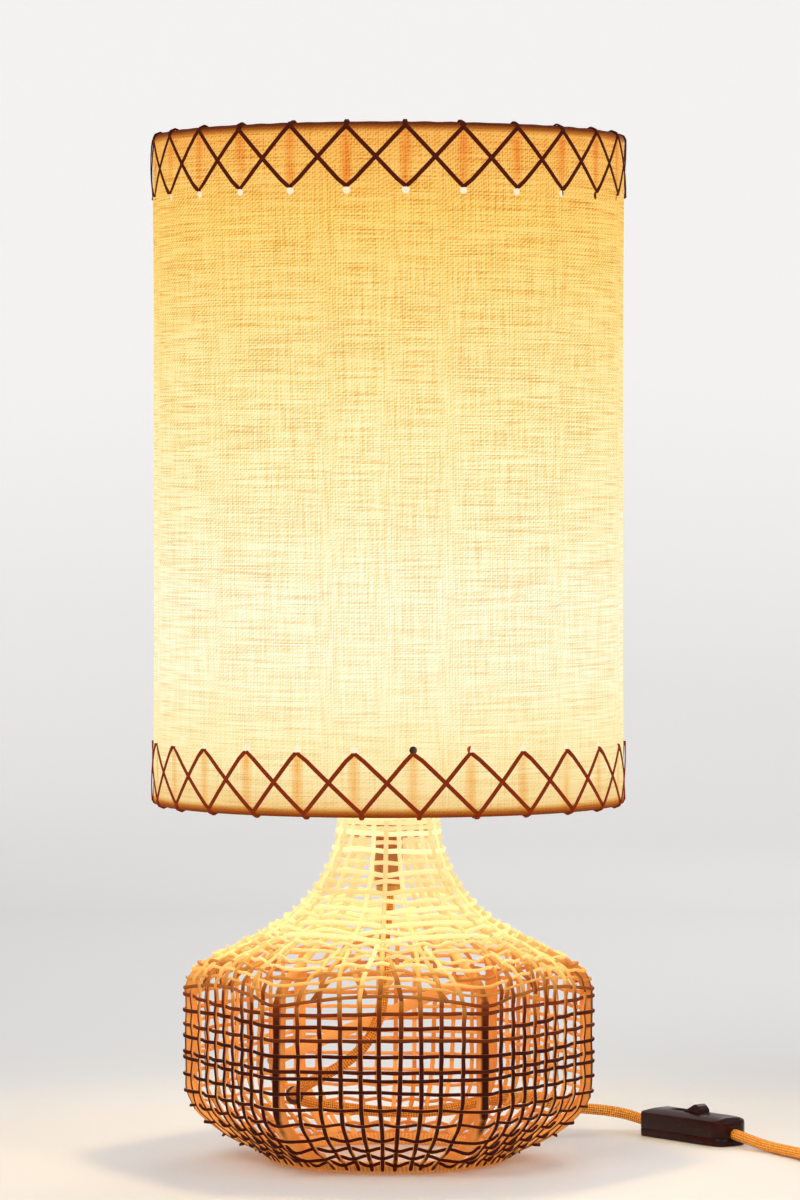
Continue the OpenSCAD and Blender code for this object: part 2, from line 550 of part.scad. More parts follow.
// Lead routes
inner_route = [[0, 0, 252], [0, 0, 230], [0, 0, 208], [0, 0, 186], [-1, -2, 165], [-3, -4, 145],
  [-3, -5, 125], [-4, -6, 108], [-8, -8, 92], [-16, -10, 78], [-28, -11, 67], [-42, -9, 58],
  [-54, -2, 51], [-61, 9, 45], [-64, 23, 40], [-60, 38, 35], [-49, 49, 31], [-34, 55, 28],
  [-17, 56, 26], [0, 54, 25], [17, 52, 25], [33, 53, 26], [49, 60, 28], [62, 71, 30], [74, 84, 30],
  [85, 97, 29]];
switch_in = switch_l / 2 - 12;
switch_out = [for (s = [-1, 1]) [switch_at[0] + s * switch_in * cos(switch_turn),
  switch_at[1] + s * switch_in * sin(switch_turn), cord_z]];
lead_a_route = [[85, 97, 29], [96, 110, 28], [111, 125, 23], [129, 137, 18], [149, 142.5, 15.5],
  [165, 142, 13], [177, 137, 10], [185.8, 130, 8], switch_out[0]];
lead_b_route = [switch_out[1], [238.8, 62.2, 8], [247, 50.5, 6.3], [256.5, 34, 4.6], [265.5, 18, 4],
  [273.8, 1, 4.2], [281.5, -19, 4.7], [287.5, -38, 5], [292.1, -57.8, 5.2]];
lead_c_route = [[388.5, -34.7, 12.8], [385.3, -19.5, 12], [381.5, -4.5, 9.8], [377.5, 8, 7.4],
  [375, 14.6, 6.85], [372, 22.8, 6.85]];
module inner_lead() color("#a5632c") tube(inner_route, cord_r, 10, [0.3, 0.3, 0.9]);
module lead_to_switch() color("#a5632c") tube(lead_a_route, cord_r, 10);
module lead_to_coil() color("#a5632c") tube(lead_b_route, cord_r, 10);
module lead_to_plug() color("#a5632c") tube(lead_c_route, cord_r, 10);
module lead_grip() color("#7a4a22") translate(inner_route[14]) rotate([71, 0, 0]) difference() {
  cylinder(h = 6, r = cord_r + 2.4, center = true, $fn = 32);
  cylinder(h = 7, r = cord_r + 0.9, center = true, $fn = 32);
}

frame_poles();
foot_ring();
neck_strands();
shoulder_strands();
wall_strands();
under_strands();
neck_stakes();
shoulder_stakes();
wall_stakes();
foot_spokes();
cross_brace();
neck_plate();
stem_sleeve();
stem_tube();
nut_low();
nut_high();
holder_cap();
holder_body();
contact_block();
screw_shell();
centre_contact();
holder_terminals();
shade_ring_nut();
bulb_contact();
bulb_insulator();
bulb_cap();
bulb_glass();
bulb_stem();
bulb_filament();
shade_linen();
hem_top();
hem_bottom();
wire_top();
wire_bottom();
spider_arms();
lace_top_a();
lace_top_b();
lace_low_a();
lace_low_b();
inner_lead();
lead_grip();
lead_to_switch();
switch_cover();
switch_case();
switch_yoke();
switch_rocker();
switch_terminals();
switch_spring();
switch_clamps();
switch_screws();
lead_to_coil();
lead_coil();
coil_ties();
lead_to_plug();
plug_shell_low();
plug_shell_high();
plug_pins();
plug_screw();
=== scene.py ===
import json
import math
import random

import bpy
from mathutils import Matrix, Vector


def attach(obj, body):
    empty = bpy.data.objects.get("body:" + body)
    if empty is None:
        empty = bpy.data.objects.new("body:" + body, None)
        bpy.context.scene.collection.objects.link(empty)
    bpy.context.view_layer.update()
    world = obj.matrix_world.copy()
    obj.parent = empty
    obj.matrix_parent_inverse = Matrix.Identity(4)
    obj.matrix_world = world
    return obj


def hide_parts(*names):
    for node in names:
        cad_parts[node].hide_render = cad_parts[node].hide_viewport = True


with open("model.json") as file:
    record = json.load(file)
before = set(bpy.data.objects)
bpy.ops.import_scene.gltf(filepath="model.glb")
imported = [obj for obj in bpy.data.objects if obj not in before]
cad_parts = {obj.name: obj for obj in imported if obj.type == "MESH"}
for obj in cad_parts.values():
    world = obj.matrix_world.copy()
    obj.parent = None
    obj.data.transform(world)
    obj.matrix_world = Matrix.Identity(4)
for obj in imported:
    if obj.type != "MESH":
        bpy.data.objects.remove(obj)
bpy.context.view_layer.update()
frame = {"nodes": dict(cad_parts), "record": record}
MM = 0.001


# ------------------------------ small helpers
def sind(a):
    return math.sin(math.radians(a))


def cosd(a):
    return math.cos(math.radians(a))


def tand(a):
    return math.tan(math.radians(a))


def share(t):
    """t kept between 0 and 1."""
    return min(1.0, max(0.0, t))


def levels(low, high, count):
    """Even steps from low up to, but without, high."""
    return [low + (high - low) * i / count for i in range(count)]


def new_object(name, data, place=(0, 0, 0)):
    thing = bpy.data.objects.new(name, data)
    thing.location = place
    bpy.context.scene.collection.objects.link(thing)
    return thing


def link(name, mesh, material, body, slot, *nodes):
    """A piece of the lamp with the body it rides on and the solids it replaces; its material slot is not
    used.
    """
    piece = new_object(name, mesh)
    mesh.materials.append(material)
    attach(piece, body)
    if nodes:
        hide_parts(*nodes)
    return piece


def mesh_from(name, verts, faces, smooth=True):
    """A mesh from points given in millimetres."""
    mesh = bpy.data.meshes.new(name)
    mesh.from_pydata([Vector(v) * MM for v in verts], [], faces)
    mesh.update()
    if smooth:
        mesh.polygons.foreach_set("use_smooth", [True] * len(mesh.polygons))
    return mesh


class Build:
    """Collects strands, rings and shells into one mesh, in millimetres, with a tint for each face."""

    def __init__(self):
        self.verts, self.faces, self.tint = [], [], []

    def add(self, verts, faces, tint=0.5):
        start = len(self.verts)
        self.verts += [tuple(v) for v in verts]
        self.faces += [tuple(start + i for i in f) for f in faces]
        self.tint += [tint] * len(faces)

    def piece(self, name, material, body, slot, *nodes, smooth=True):
        """Makes the mesh and links it as a piece."""
        mesh = mesh_from(name, self.verts, self.faces, smooth)
        layer = mesh.attributes.new("tint", "FLOAT", "FACE")
        layer.data.foreach_set("value", self.tint)
        return link(name, mesh, material, body, slot, *nodes)


def single(name, shape, material, body, slot, *nodes, tint=0.5, smooth=True):
    """A piece made of one body, given as its vertices and faces."""
    build = Build()
    build.add(*shape, tint)
    return build.piece(name, material, body, slot, *nodes, smooth=smooth)


def skin(rows, sides, closed=False, flip=False):
    """Quads between neighbouring rows of points; a closed skin joins its last row to its first."""
    faces = []
    for i in range(rows if closed else rows - 1):
        j = (i + 1) % rows
        for k in range(sides):
            m = (k + 1) % sides
            a, b, c, d = i * sides + k, i * sides + m, j * sides + m, j * sides + k
            faces.append((a, d, c, b) if flip else (a, b, c, d))
    return faces


def ends(rows, sides):
    """Faces that close the first and the last row of a skin."""
    return [tuple(reversed(range(sides))), tuple((rows - 1) * sides + k for k in range(sides))]


def stacked(rings):
    """A closed skin through rings of as many points each."""
    rows, sides = len(rings), len(rings[0])
    return [p for ring in rings for p in ring], skin(rows, sides) + ends(rows, sides)


def frames(points, up=(0, 0, 1), closed=False):
    """A steady cross-section frame along a line of points."""
    n = len(points)
    result, side = [], None
    for i, p in enumerate(points):
        a = points[(i - 1) % n] if closed else points[max(i - 1, 0)]
        b = points[(i + 1) % n] if closed else points[min(i + 1, n - 1)]
        d = (Vector(b) - Vector(a)).normalized()
        if side is None:
            side = Vector(up).cross(d)
            if side.length < 0.1:
                side = Vector((1, 0, 0)).cross(d)
        side = (side - d * side.dot(d)).normalized()
        result.append((Vector(p), side, d.cross(side)))
    return result


def sweep(points, radii, sides=8, up=(0, 0, 1), closed=False, flat=1.0):
    """Vertices and faces of a round or flattened rod along the points."""
    rows = frames(points, up, closed)
    n = len(rows)
    radius = radii if hasattr(radii, "__len__") else [radii] * n
    verts = [p + radius[i] * (math.cos(t) * s + flat * math.sin(t) * u)
             for i, (p, s, u) in enumerate(rows)
             for t in (2 * math.pi * k / sides for k in range(sides))]
    return verts, skin(n, sides, closed) + ([] if closed else ends(n, sides))


def smooth_path(points, step):
    """Catmull-Rom curve through the points, resampled about every step."""
    pts = [Vector(p) for p in points]
    ext = [2 * pts[0] - pts[1]] + pts + [2 * pts[-1] - pts[-2]]
    fine = []
    for i in range(1, len(ext) - 2):
        a, b, c, d = ext[i - 1:i + 3]
        count = max(2, round((c - b).length / step))
        for k in range(count):
            t = k / count
            fine.append(0.5 * (2 * b + (c - a) * t + (2 * a - 5 * b + 4 * c - d) * t * t
                               + (3 * b - a - 3 * c + d) * t ** 3))
    return fine + [pts[-1]]


# ------------------------------ camera
EYE, LOOK_DOWN, LENS, SHIFT = (0, -3.527, 0.465), 1.42, 157, 0.0096
camera = new_object("camera", bpy.data.cameras.new("camera"), EYE)
camera.data.lens = LENS
camera.data.sensor_fit = "VERTICAL"
camera.data.sensor_height = 36
camera.data.shift_x = SHIFT
camera.rotation_euler = (math.radians(90 - LOOK_DOWN), 0, 0)
bpy.context.scene.camera = camera
bpy.context.scene.view_settings.view_transform = "Standard"


# ------------------------------ material tools
def linear(code):
    """Linear colour of a hexadecimal display colour."""
    values = [int(code[i:i + 2], 16) / 255 for i in (0, 2, 4)]
    return tuple(v / 12.92 if v <= 0.04045 else ((v + 0.055) / 1.055) ** 2.4 for v in values)


class Wire:
    """The output of a node, which adds, subtracts, multiplies and divides like a number."""

    def __init__(self, shade, socket):
        self.shade, self.socket = shade, socket

    def __add__(self, other):
        return self.shade.math("ADD", self, other)

    def __sub__(self, other):
        return self.shade.math("SUBTRACT", self, other)

    def __rsub__(self, other):
        return self.shade.math("SUBTRACT", other, self)

    def __mul__(self, other):
        return self.shade.math("MULTIPLY", self, other)

    def __truediv__(self, other):
        return self.shade.math("DIVIDE", self, other)


class Shade:
    """A node material built up one node at a time. Colours are hexadecimal codes or wires."""

    def __init__(self, name, roughness, **sockets):
        self.material = bpy.data.materials.new(name)
        self.material.use_nodes = True
        self.tree = self.material.node_tree
        self.inputs = self.tree.nodes["Principled BSDF"].inputs
        self.inputs["Roughness"].default_value = roughness
        for key, value in sockets.items():
            self.inputs[key.replace("_", " ")].default_value = value
        self.place = self.wire("TexCoord", out="Object")

    def node(self, kind, **settings):
        node = self.tree.nodes.new("ShaderNode" + kind)
        for key, value in settings.items():
            setattr(node, key, value)
        return node

    def put(self, value, socket):
        """Joins a wire to a socket, or sets the socket's own value."""
        if isinstance(value, Wire):
            self.tree.links.new(value.socket, socket)
        else:
            socket.default_value = (*linear(value), 1) if isinstance(value, str) else value

    def wire(self, kind, *values, out=0, **settings):
        """A new node with its first inputs filled in, and one of its outputs."""
        node = self.node(kind, **settings)
        for value, socket in zip(values, node.inputs):
            self.put(value, socket)
        return Wire(self, node.outputs[out])

    def math(self, operation, a, b=0.0):
        return self.wire("Math", a, b, operation=operation)

    def axes(self, vector):
        """The three parts of a vector."""
        node = self.node("SeparateXYZ")
        self.put(vector, node.inputs[0])
        return [Wire(self, output) for output in node.outputs]

    def spread(self, value, low, high):
        """0 at low and beyond, 1 at high and beyond, whichever of them is the larger."""
        return self.wire("MapRange", value, low, high)

    def noise(self, scale, detail, stretch=(1, 1, 1)):
        node = self.node("TexNoise")
        self.put(self.wire("VectorMath", self.place, stretch, operation="MULTIPLY"), node.inputs["Vector"])
        node.inputs["Scale"].default_value = scale
        node.inputs["Detail"].default_value = detail
        return Wire(self, node.outputs[0])

    def ramp(self, value, stops):
        node = self.node("ValToRGB")
        self.put(value, node.inputs[0])
        elements = node.color_ramp.elements
        elements.remove(elements[1])
        elements[0].position = stops[0][0]
        for at, _ in stops[1:]:
            elements.new(at)
        for element, (_, code) in zip(elements, stops):
            element.color = (*linear(code), 1)
        return Wire(self, node.outputs[0])

    def mix(self, factor, a, b, blend="MIX"):
        node = self.node("Mix", data_type="RGBA", blend_type=blend)
        for value, index in ((factor, 0), (a, 6), (b, 7)):
            self.put(value, node.inputs[index])
        return Wire(self, node.outputs[2])

    def colour(self, value):
        self.put(value, self.inputs["Base Color"])

    def glow(self, colour, strength):
        self.put(colour, self.inputs["Emission Color"])
        self.put(strength, self.inputs["Emission Strength"])

    def bump(self, height, strength, depth):
        node = self.node("Bump")
        node.inputs["Strength"].default_value = strength
        node.inputs["Distance"].default_value = depth
        self.put(height, node.inputs["Height"])
        self.tree.links.new(node.outputs[0], self.inputs["Normal"])


# ------------------------------ floor and studio light
BULB_Z = 0.342


def backdrop_paint():
    """Pale paint, lifted for the camera alone away from the lamp to make the wall as light as the floor."""
    m = Shade("backdrop_paint", 0.7)
    m.colour((0.80, 0.79, 0.775, 1))
    away = m.wire("VectorMath", m.place, out="Value", operation="LENGTH")
    seen = m.wire("LightPath", out="Is Camera Ray")
    m.glow((1.0, 0.99, 0.97, 1), m.spread(away, 2.0, 4.5) * 0.38 * seen)
    return m.material


def backdrop():
    """A pale floor that rises into a wall behind the object in one smooth sweep."""
    half, bend, back, height = 7.0, 2.0, 3.0, 9.0
    side = [(-half, 0.0), (back, 0.0)]
    side += [(back + bend * sind(t), bend - bend * cosd(t)) for t in range(5, 91, 5)]
    side.append((back + bend, height))
    mesh = bpy.data.meshes.new("backdrop")
    mesh.from_pydata([(x, y, z) for y, z in side for x in (-half, half)], [],
                     [(2 * i, 2 * i + 1, 2 * i + 3, 2 * i + 2) for i in range(len(side) - 1)])
    mesh.polygons.foreach_set("use_smooth", [True] * len(mesh.polygons))
    mesh.materials.append(backdrop_paint())
    new_object("backdrop", mesh)


def studio_world():
    """Plain surroundings, brighter to the camera than they light."""
    world = bpy.data.worlds.new("studio")
    bpy.context.scene.world = world
    world.use_nodes = True
    tree = world.node_tree
    mix = tree.nodes.new("ShaderNodeMix")
    mix.data_type = "RGBA"
    mix.inputs[6].default_value = (0.58, 0.58, 0.59, 1)
    mix.inputs[7].default_value = (0.86, 0.85, 0.83, 1)
    tree.links.new(tree.nodes.new("ShaderNodeLightPath").outputs["Is Camera Ray"], mix.inputs[0])
    tree.links.new(mix.outputs[2], tree.nodes["Background"].inputs["Color"])


def lamp(name, kind, place, power):
    """A stage light at a place; its data is returned for its size and colour."""
    light = bpy.data.lights.new(name, kind)
    light.energy = power
    holder = new_object(name, light, place)
    if kind == "AREA":
        holder.rotation_euler = (Vector((0, 0, 0.3)) - Vector(place)).to_track_quat("-Z", "Y").to_euler()
    return light


def lights():
    """Three soft lights aimed at the base, and the glow of the bulb."""
    lamp("key", "AREA", (-1.6, -2.2, 2.4), 34).size = 1.6
    lamp("fill", "AREA", (2.2, -1.4, 1.5), 15).size = 2.0
    lamp("rim", "AREA", (0.8, 2.2, 2.0), 20).size = 1.6
    bulb = lamp("bulb_light", "POINT", (0, 0, BULB_Z), 3.2)
    bulb.color = (1.0, 0.66, 0.30)
    bulb.shadow_soft_size = 0.028


backdrop()
studio_world()
lights()


# ------------------------------ outline of the woven base, in millimetres
BASE_R, CORNER_R, SIDE_R = 139.5, 22.0, 126.2475
BELLY_R, SHOULDER_R, SHOULDER_A = 36.0, 26.0, 27.0
WALL_Z, JOIN_Z, FOOT_R, FOOT_H = 53.0, 156.5, 81.5, 2.0
NECK_R, FLARE_R, NECK_A, BASE_TURN = 35.15, 90.3, 5.7, -2.5
JOIN_R = NECK_R + FLARE_R * (cosd(NECK_A) - sind(SHOULDER_A))
NECK_Z = JOIN_Z + FLARE_R * (cosd(SHOULDER_A) - sind(NECK_A))


def wall_r(angle):
    """Radius of the six-sided wall at an angle from a pole."""
    c, q = BASE_R - CORNER_R, SIDE_R - CORNER_R
    e = (c * c - q * q) / (2 * q - math.sqrt(3) * c)
    big = SIDE_R + e
    half = math.degrees(math.atan2(c / 2, c * cosd(30) + e))
    edge = math.degrees(math.atan2(big * sind(half), big * cosd(half) - e))
    m = abs(angle % 60 - 30)
    if m <= edge:
        return math.sqrt(big * big - (e * sind(m)) ** 2) - e * cosd(m)
    return c * cosd(30 - m) + math.sqrt(CORNER_R ** 2 - (c * sind(30 - m)) ** 2)


def shoulder_end(w):
    """Radius where the rounding over the wall ends."""
    return w - SHOULDER_R * (1 - sind(SHOULDER_A))


def wall_top(w):
    """Height where the upright wall ends."""
    return JOIN_Z - (shoulder_end(w) - JOIN_R) * tand(SHOULDER_A) - SHOULDER_R * cosd(SHOULDER_A)


def under_pt(w, o, t):
    """Underside: a curve from the foot ring to the belly."""
    x0, z0 = FOOT_R, FOOT_H
    x2, z2 = w - BELLY_R + BELLY_R * cosd(45), WALL_Z - BELLY_R * sind(45)
    half = math.hypot(x2 - x0, z2 - z0) / 2 * sind(45)
    x1, z1 = x2 - half, z2 - half
    dx, dz = (1 - t) * (x1 - x0) + t * (x2 - x1), (1 - t) * (z1 - z0) + t * (z2 - z1)
    size = math.hypot(dx, dz)
    x = (1 - t) ** 2 * x0 + 2 * t * (1 - t) * x1 + t * t * x2
    z = (1 - t) ** 2 * z0 + 2 * t * (1 - t) * z1 + t * t * z2
    return x - o * dz / size, z + o * dx / size


def side_pt(w, o, s):
    """Point o inside the outline: s runs 0 foot, 1 belly, 2 wall, 3 shoulder, 4 slope, 5 neck, 6 top."""
    if s <= 1:
        return under_pt(w, o, s)
    if s <= 2:
        a = 45 * (2 - s)
        return w - BELLY_R + (BELLY_R - o) * cosd(a), WALL_Z - (BELLY_R - o) * sind(a)
    if s <= 3:
        return w - o, WALL_Z + (wall_top(w) - WALL_Z) * (s - 2)
    if s <= 4:
        a = (90 - SHOULDER_A) * (s - 3)
        return w - SHOULDER_R + (SHOULDER_R - o) * cosd(a), wall_top(w) + (SHOULDER_R - o) * sind(a)
    if s <= 5:
        r = shoulder_end(w) + (JOIN_R - shoulder_end(w)) * (s - 4)
        z = JOIN_Z + (JOIN_R - r) * tand(SHOULDER_A)
        return r - o * sind(SHOULDER_A), z - o * cosd(SHOULDER_A)
    a = 90 - SHOULDER_A - (90 - SHOULDER_A - NECK_A) * (s - 5)
    x, z = NECK_R + FLARE_R * cosd(NECK_A), NECK_Z + FLARE_R * sind(NECK_A)
    return x - (FLARE_R + o) * cosd(a), z - (FLARE_R + o) * sind(a)


def around(angle, point):
    """A radius and height turned to an angle about the base."""
    a = angle + BASE_TURN
    return Vector((point[0] * cosd(a), point[0] * sind(a), point[1]))


# ------------------------------ lead
CORD_R = 3.8
SWITCH_AT, SWITCH_TURN, SWITCH_L, SWITCH_W = Vector((212.3, 96.1, 0)), -52, 84, 28
PLUG_AT, PLUG_TURN, PLUG_L, PLUG_T = Vector((375, 14.6, 0)), 110, 36.8, 13.7
COIL_AT, COIL_R, COIL_Z, LAYER = Vector((340, -45, 0)), 42.0, 5.2, 7.6
INNER_ROUTE = [(0, 0, 252), (0, 0, 230), (0, 0, 208), (0, 0, 186), (-1, -2, 165), (-3, -4, 145),
               (-3, -5, 125), (-4, -6, 108), (-8, -8, 92), (-16, -10, 78), (-28, -11, 67), (-42, -9, 58),
               (-54, -2, 51), (-61, 9, 45), (-64, 23, 40), (-60, 38, 35), (-49, 49, 31), (-34, 55, 28),
               (-17, 56, 26), (0, 54, 25), (17, 52, 25), (33, 53, 26), (49, 60, 28), (62, 71, 30),
               (74, 84, 30), (85, 97, 29)]
LEAD_A = [(85, 97, 29), (96, 110, 28), (111, 125, 23), (129, 137, 18), (149, 142.5, 15.5), (165, 142, 13),
          (177, 137, 10), (185.8, 130, 8)]
LEAD_B = [(238.8, 62.2, 8), (247, 50.5, 6.3), (256.5, 34, 4.6), (265.5, 18, 4), (273.8, 1, 4.2),
          (281.5, -19, 4.7), (287.5, -38, 5)]
LEAD_C = [(385.3, -19.5, 12), (381.5, -4.5, 9.8), (377.5, 8, 7.4), (375, 14.6, 6.85), (372, 22.8, 6.85)]
SWITCH_IN, SWITCH_LEAD_Z = 30, 8


def local(origin, turn, x, y, z):
    """A point laid out along X from an origin, turned and put in its place."""
    c, s = cosd(turn), sind(turn)
    return Vector((origin[0] + x * c - y * s, origin[1] + x * s + y * c, z))


def coil_turns():
    """Six turns, three side by side and then three on top, each of one radius with a short change-over."""
    radii = [COIL_R + LAYER * n for n in (1, 0, -1, -1, 0, 1)]
    start, end, change, step = -165, 1977, 120, 15
    points = []
    for a in range(0, end + 1, step):
        turn = a // 360
        t = max(0.0, (a % 360 - 360 + change) / change)
        t = t * t * (3 - 2 * t)
        r = radii[turn] + (radii[min(turn + 1, 5)] - radii[turn]) * t
        z = COIL_Z + (0 if turn < 2 else LAYER * t if turn == 2 else LAYER)
        points.append((COIL_AT[0] + r * cosd(start + a), COIL_AT[1] + r * sind(start + a), z))
    return points


def cord(name, points, *nodes):
    """A braided lead; the distance along it and the turn round it are kept for the braid."""
    sides, step = 14, 3.0
    line = smooth_path(points, step)
    mesh = mesh_from(name, *sweep(line, CORD_R, sides))
    run = [0.0]
    for a, b in zip(line, line[1:]):
        run.append(run[-1] + (b - a).length)
    values = []
    for face in mesh.polygons:
        spots = [divmod(v, sides) for v in face.vertices]
        columns = [col for _, col in spots]
        wrap = max(columns) - min(columns) > sides // 2
        for row, col in spots:
            values += [run[row] * MM, (sides if wrap and col == 0 else col) / sides, 0.0]
    layer = mesh.attributes.new("braid", "FLOAT_VECTOR", "CORNER")
    layer.data.foreach_set("vector", values)
    piece = link(name, mesh, BRAID, "base", "braided_lead", *nodes)
    return piece, [p * MM for p in line], run[-1] * MM


def braid_material():
    """Fine diagonal braid of a fabric-covered lead."""
    pitch, yarns = 0.0034, 7
    m = Shade("braided_lead", 0.78)
    run, turn, _ = m.axes(m.wire("Attribute", out="Vector", attribute_name="braid"))
    along, about = run * (2 * math.pi / pitch), turn * (2 * math.pi * yarns)
    cross = m.math("SINE", along + about) * m.math("SINE", along - about)
    shade = cross * 0.3 + m.noise(900, 2) * 0.9
    m.colour(m.ramp(shade, [(0.1, "9A4C08"), (0.38, "E28A1E"), (0.6, "FCB03C"), (0.9, "FFD074")]))
    m.bump(cross, 0.6, 0.0005)
    return m.material


BRAID = braid_material()
in_switch = [tuple(local(SWITCH_AT, SWITCH_TURN, x, 0, SWITCH_LEAD_Z)) for x in (-SWITCH_IN, SWITCH_IN)]
lead, lead_line, lead_length = cord("mains_lead", LEAD_A + in_switch + LEAD_B + coil_turns() + LEAD_C,
                                    "lead_to_switch", "lead_to_coil", "lead_coil", "lead_to_plug")
cord("inner_cord", INNER_ROUTE, "inner_lead")


# ------------------------------ materials of the woven base
# Painted light and shade: the heights where the lower wall's painted shade turns to the bulb's painted light
# on the shoulder, the inner faces painted orange as if lit by the bulb, and the outer colour by height, dark
# brown below and pale yellow on the shoulder and neck.
BASE_TOP, LIT_FROM, LIT_TO = 0.24, 0.104, 0.140
INNER_LIT = ("C26A24", "F6B262")
PAINTED_LIGHT_BY_HEIGHT = [(0.0, "571C09"), (0.25, "481307"), (0.38, "5A1C0A"), (0.46, "98481A"), (0.51, "D08C3C"),
                   (0.56, "EFBE68"), (0.65, "FAE4A2"), (0.8, "FCEDB2"), (1.0, "FEF3C2")]


def rattan_material(name, flank, shade, grain=1.0):
    """Painted light and shade: the lower wall's outward faces dark as in shade, its inner faces and flanks
    orange and glowing as if lit by the bulb, the shoulder and neck pale and glowing as if lit from above.
    """
    m = Shade(name, 0.75, Specular_IOR_Level=0.12)
    x, y, z = m.axes(m.place)
    across, along, _ = m.axes(m.wire("NewGeometry", out="Normal"))
    reach = m.math("MAXIMUM", m.math("SQRT", x * x + y * y), 0.001)
    # Outward-facing faces get the painted shade; flank sets where it gives way to the painted orange of the
    # lit inner faces.
    outside = m.spread((x * across + y * along) / reach, *flank)
    tone = m.wire("Attribute", out="Fac", attribute_name="tint") * 0.6 + m.noise(26, 3) * 0.4
    uneven = z + (tone - 0.5) * 0.03
    above = m.spread(uneven, LIT_FROM, LIT_TO)
    outer = m.ramp(m.spread(uneven, 0.0, BASE_TOP), PAINTED_LIGHT_BY_HEIGHT)
    outer = m.mix(1.0 - above * 0.35, outer, m.mix(tone, shade, "FFFFFF"), "MULTIPLY")
    inner = m.mix(tone, *INNER_LIT)
    fine = m.noise(1500, 3)
    body = m.mix(above, m.mix(outside, inner, outer), outer)
    m.colour(m.mix(fine * (0.2 * grain), body, "8A5420", "MULTIPLY"))
    # Painted light: the rattan glows though it is no lamp, orange on its inner faces and flanks and pale on
    # the shoulder and neck.
    m.glow(m.mix(above, m.mix(outside, inner, "000000"), outer), above * 0.26 + 0.38)
    m.bump(fine, 0.3, 0.0004)
    return m.material


# Flank limits for the painted shade on outward faces: the poles are painted dark only down their outward
# middle and glow orange on their flanks.
REED = rattan_material("rattan_reed", (0.0, 0.5), "C09878")
STAKE = rattan_material("rattan_stake", (0.0, 0.5), "B08868")
POLE = rattan_material("rattan_pole", (0.62, 0.88), "B08058", 0.7)
RING = rattan_material("rattan_ring", (0.3, 1.9), "A87040", 1.6)


# ------------------------------ woven base
NODES, NECK_NODES, NECK_S = 60, 24, 5.0
WALL_ROWS = (57.5, 67.9, 72.7, 82.5, 91.5, 101, 111)
SHOULDER_ROWS = (3.12, 3.37, 3.62, 3.87, 4.14, 4.4, 4.66, 4.9)
UNDER_ROWS = (0.13, 0.37, 0.62, 0.9, 1.34, 1.76)
NECK_ROWS = tuple(5.03 + 0.93 * n / 12 for n in range(12)) + (5.938, 5.978, 6.016, 6.055)
WALL_ROW, SHOULDER_ROW = len(UNDER_ROWS), len(UNDER_ROWS + WALL_ROWS)
NECK_ROW = SHOULDER_ROW + len(SHOULDER_ROWS)
TOP_ROW, LAST_ROW = NECK_ROW + 12, NECK_ROW + len(NECK_ROWS)
NECK_END = 6.07
REED_HALF, STAKE_HALF, POLE_HALF = 0.85, 1.15, 4.25
WEAVE, SWAY, MIDDLE, POLE_OVER, POLE_DEPTH = 1.3, 0.4, 3.1, 1.0, 1.8
SLANT_HALF, SLANT_DEPTH = 1.2, MIDDLE + 3.2
CUT_END, FULL_TURN = 1.7, 6.3
rng = random.Random(7)


def rows_at(w):
    """Every strand's place along the side outline, from the foot to the top of the neck."""
    wall = tuple(2 + (h - WALL_Z) / (wall_top(w) - WALL_Z) for h in WALL_ROWS)
    return UNDER_ROWS + wall + SHOULDER_ROWS + NECK_ROWS


def ease(t):
    return (1 - math.cos(math.pi * share(t))) / 2


def passes(row, upright):
    """1 where a strand passes outside an upright, -1 where it passes behind it."""
    return 1 if (row + upright) % 2 == 0 else -1


def stake_depth(upright, w, s):
    """How far inside the outline a stake runs, as it gives way to each strand in turn."""
    rows = rows_at(w)
    n = max(0, sum(1 for r in rows if r <= s) - 1)
    here = passes(n, upright)
    t = (s - rows[n]) / (rows[n + 1] - rows[n]) if n + 1 < len(rows) else 0
    low = share(s / UNDER_ROWS[0])
    return (MIDDLE + SWAY * (here - 2 * here * ease(t))) * low + 0.6 * (1 - low)


def woven_hoop(build, row):
    """One strand right round the base, outside one upright and behind the next, always outside the poles."""
    at_neck = row >= NECK_ROW
    nodes, fine, flat, wander, stiff = NODES, 4, 1.55, 1.0, 50
    if at_neck:
        nodes, fine, flat, wander, stiff = NECK_NODES, 8, 2.05, 0.9 if row < TOP_ROW else 0.3, 90
    waves = [(rng.uniform(0, FULL_TURN), k, rng.uniform(-1, 1) * wander / math.sqrt(k))
             for k in (1, 2, 3, 5, 8)]
    size, phase = rng.uniform(0.94, 1.06), rng.uniform(0, FULL_TURN)
    points, radii = [], []
    for i in range(nodes * fine):
        node, t = divmod(i, fine)
        angle = 360 * i / (nodes * fine)
        w = BASE_R if at_neck else wall_r(angle)
        drift = sum(far * math.sin(k * math.radians(angle) + turn) for turn, k, far in waves)
        s = rows_at(w)[row] + drift / stiff
        a, b = (POLE_OVER if k * 6 % nodes == 0 else MIDDLE - WEAVE * passes(row, k)
                for k in (node, (node + 1) % nodes))
        points.append(around(angle, side_pt(w, a + (b - a) * ease(t / fine), s)))
        radii.append(REED_HALF * size * (1 + 0.05 * math.sin(0.37 * i + phase) * math.sin(1.3 * i)))
    verts, faces = sweep(points, radii, 7, closed=True, flat=flat)
    build.add(verts, faces, rng.random())


def strands():
    for name, first, last, node, slot in (
            ("reed_underside", 0, WALL_ROW, "under_strands", "rattan_brown"),
            ("reed_wall", WALL_ROW, SHOULDER_ROW, "wall_strands", "rattan_brown"),
            ("reed_shoulder", SHOULDER_ROW, NECK_ROW, "shoulder_strands", "rattan_pale"),
            ("reed_neck", NECK_ROW, LAST_ROW, "neck_strands", "rattan_pale")):
        build = Build()
        for row in range(first, last):
            woven_hoop(build, row)
        build.piece(name, REED, "base", slot, node)


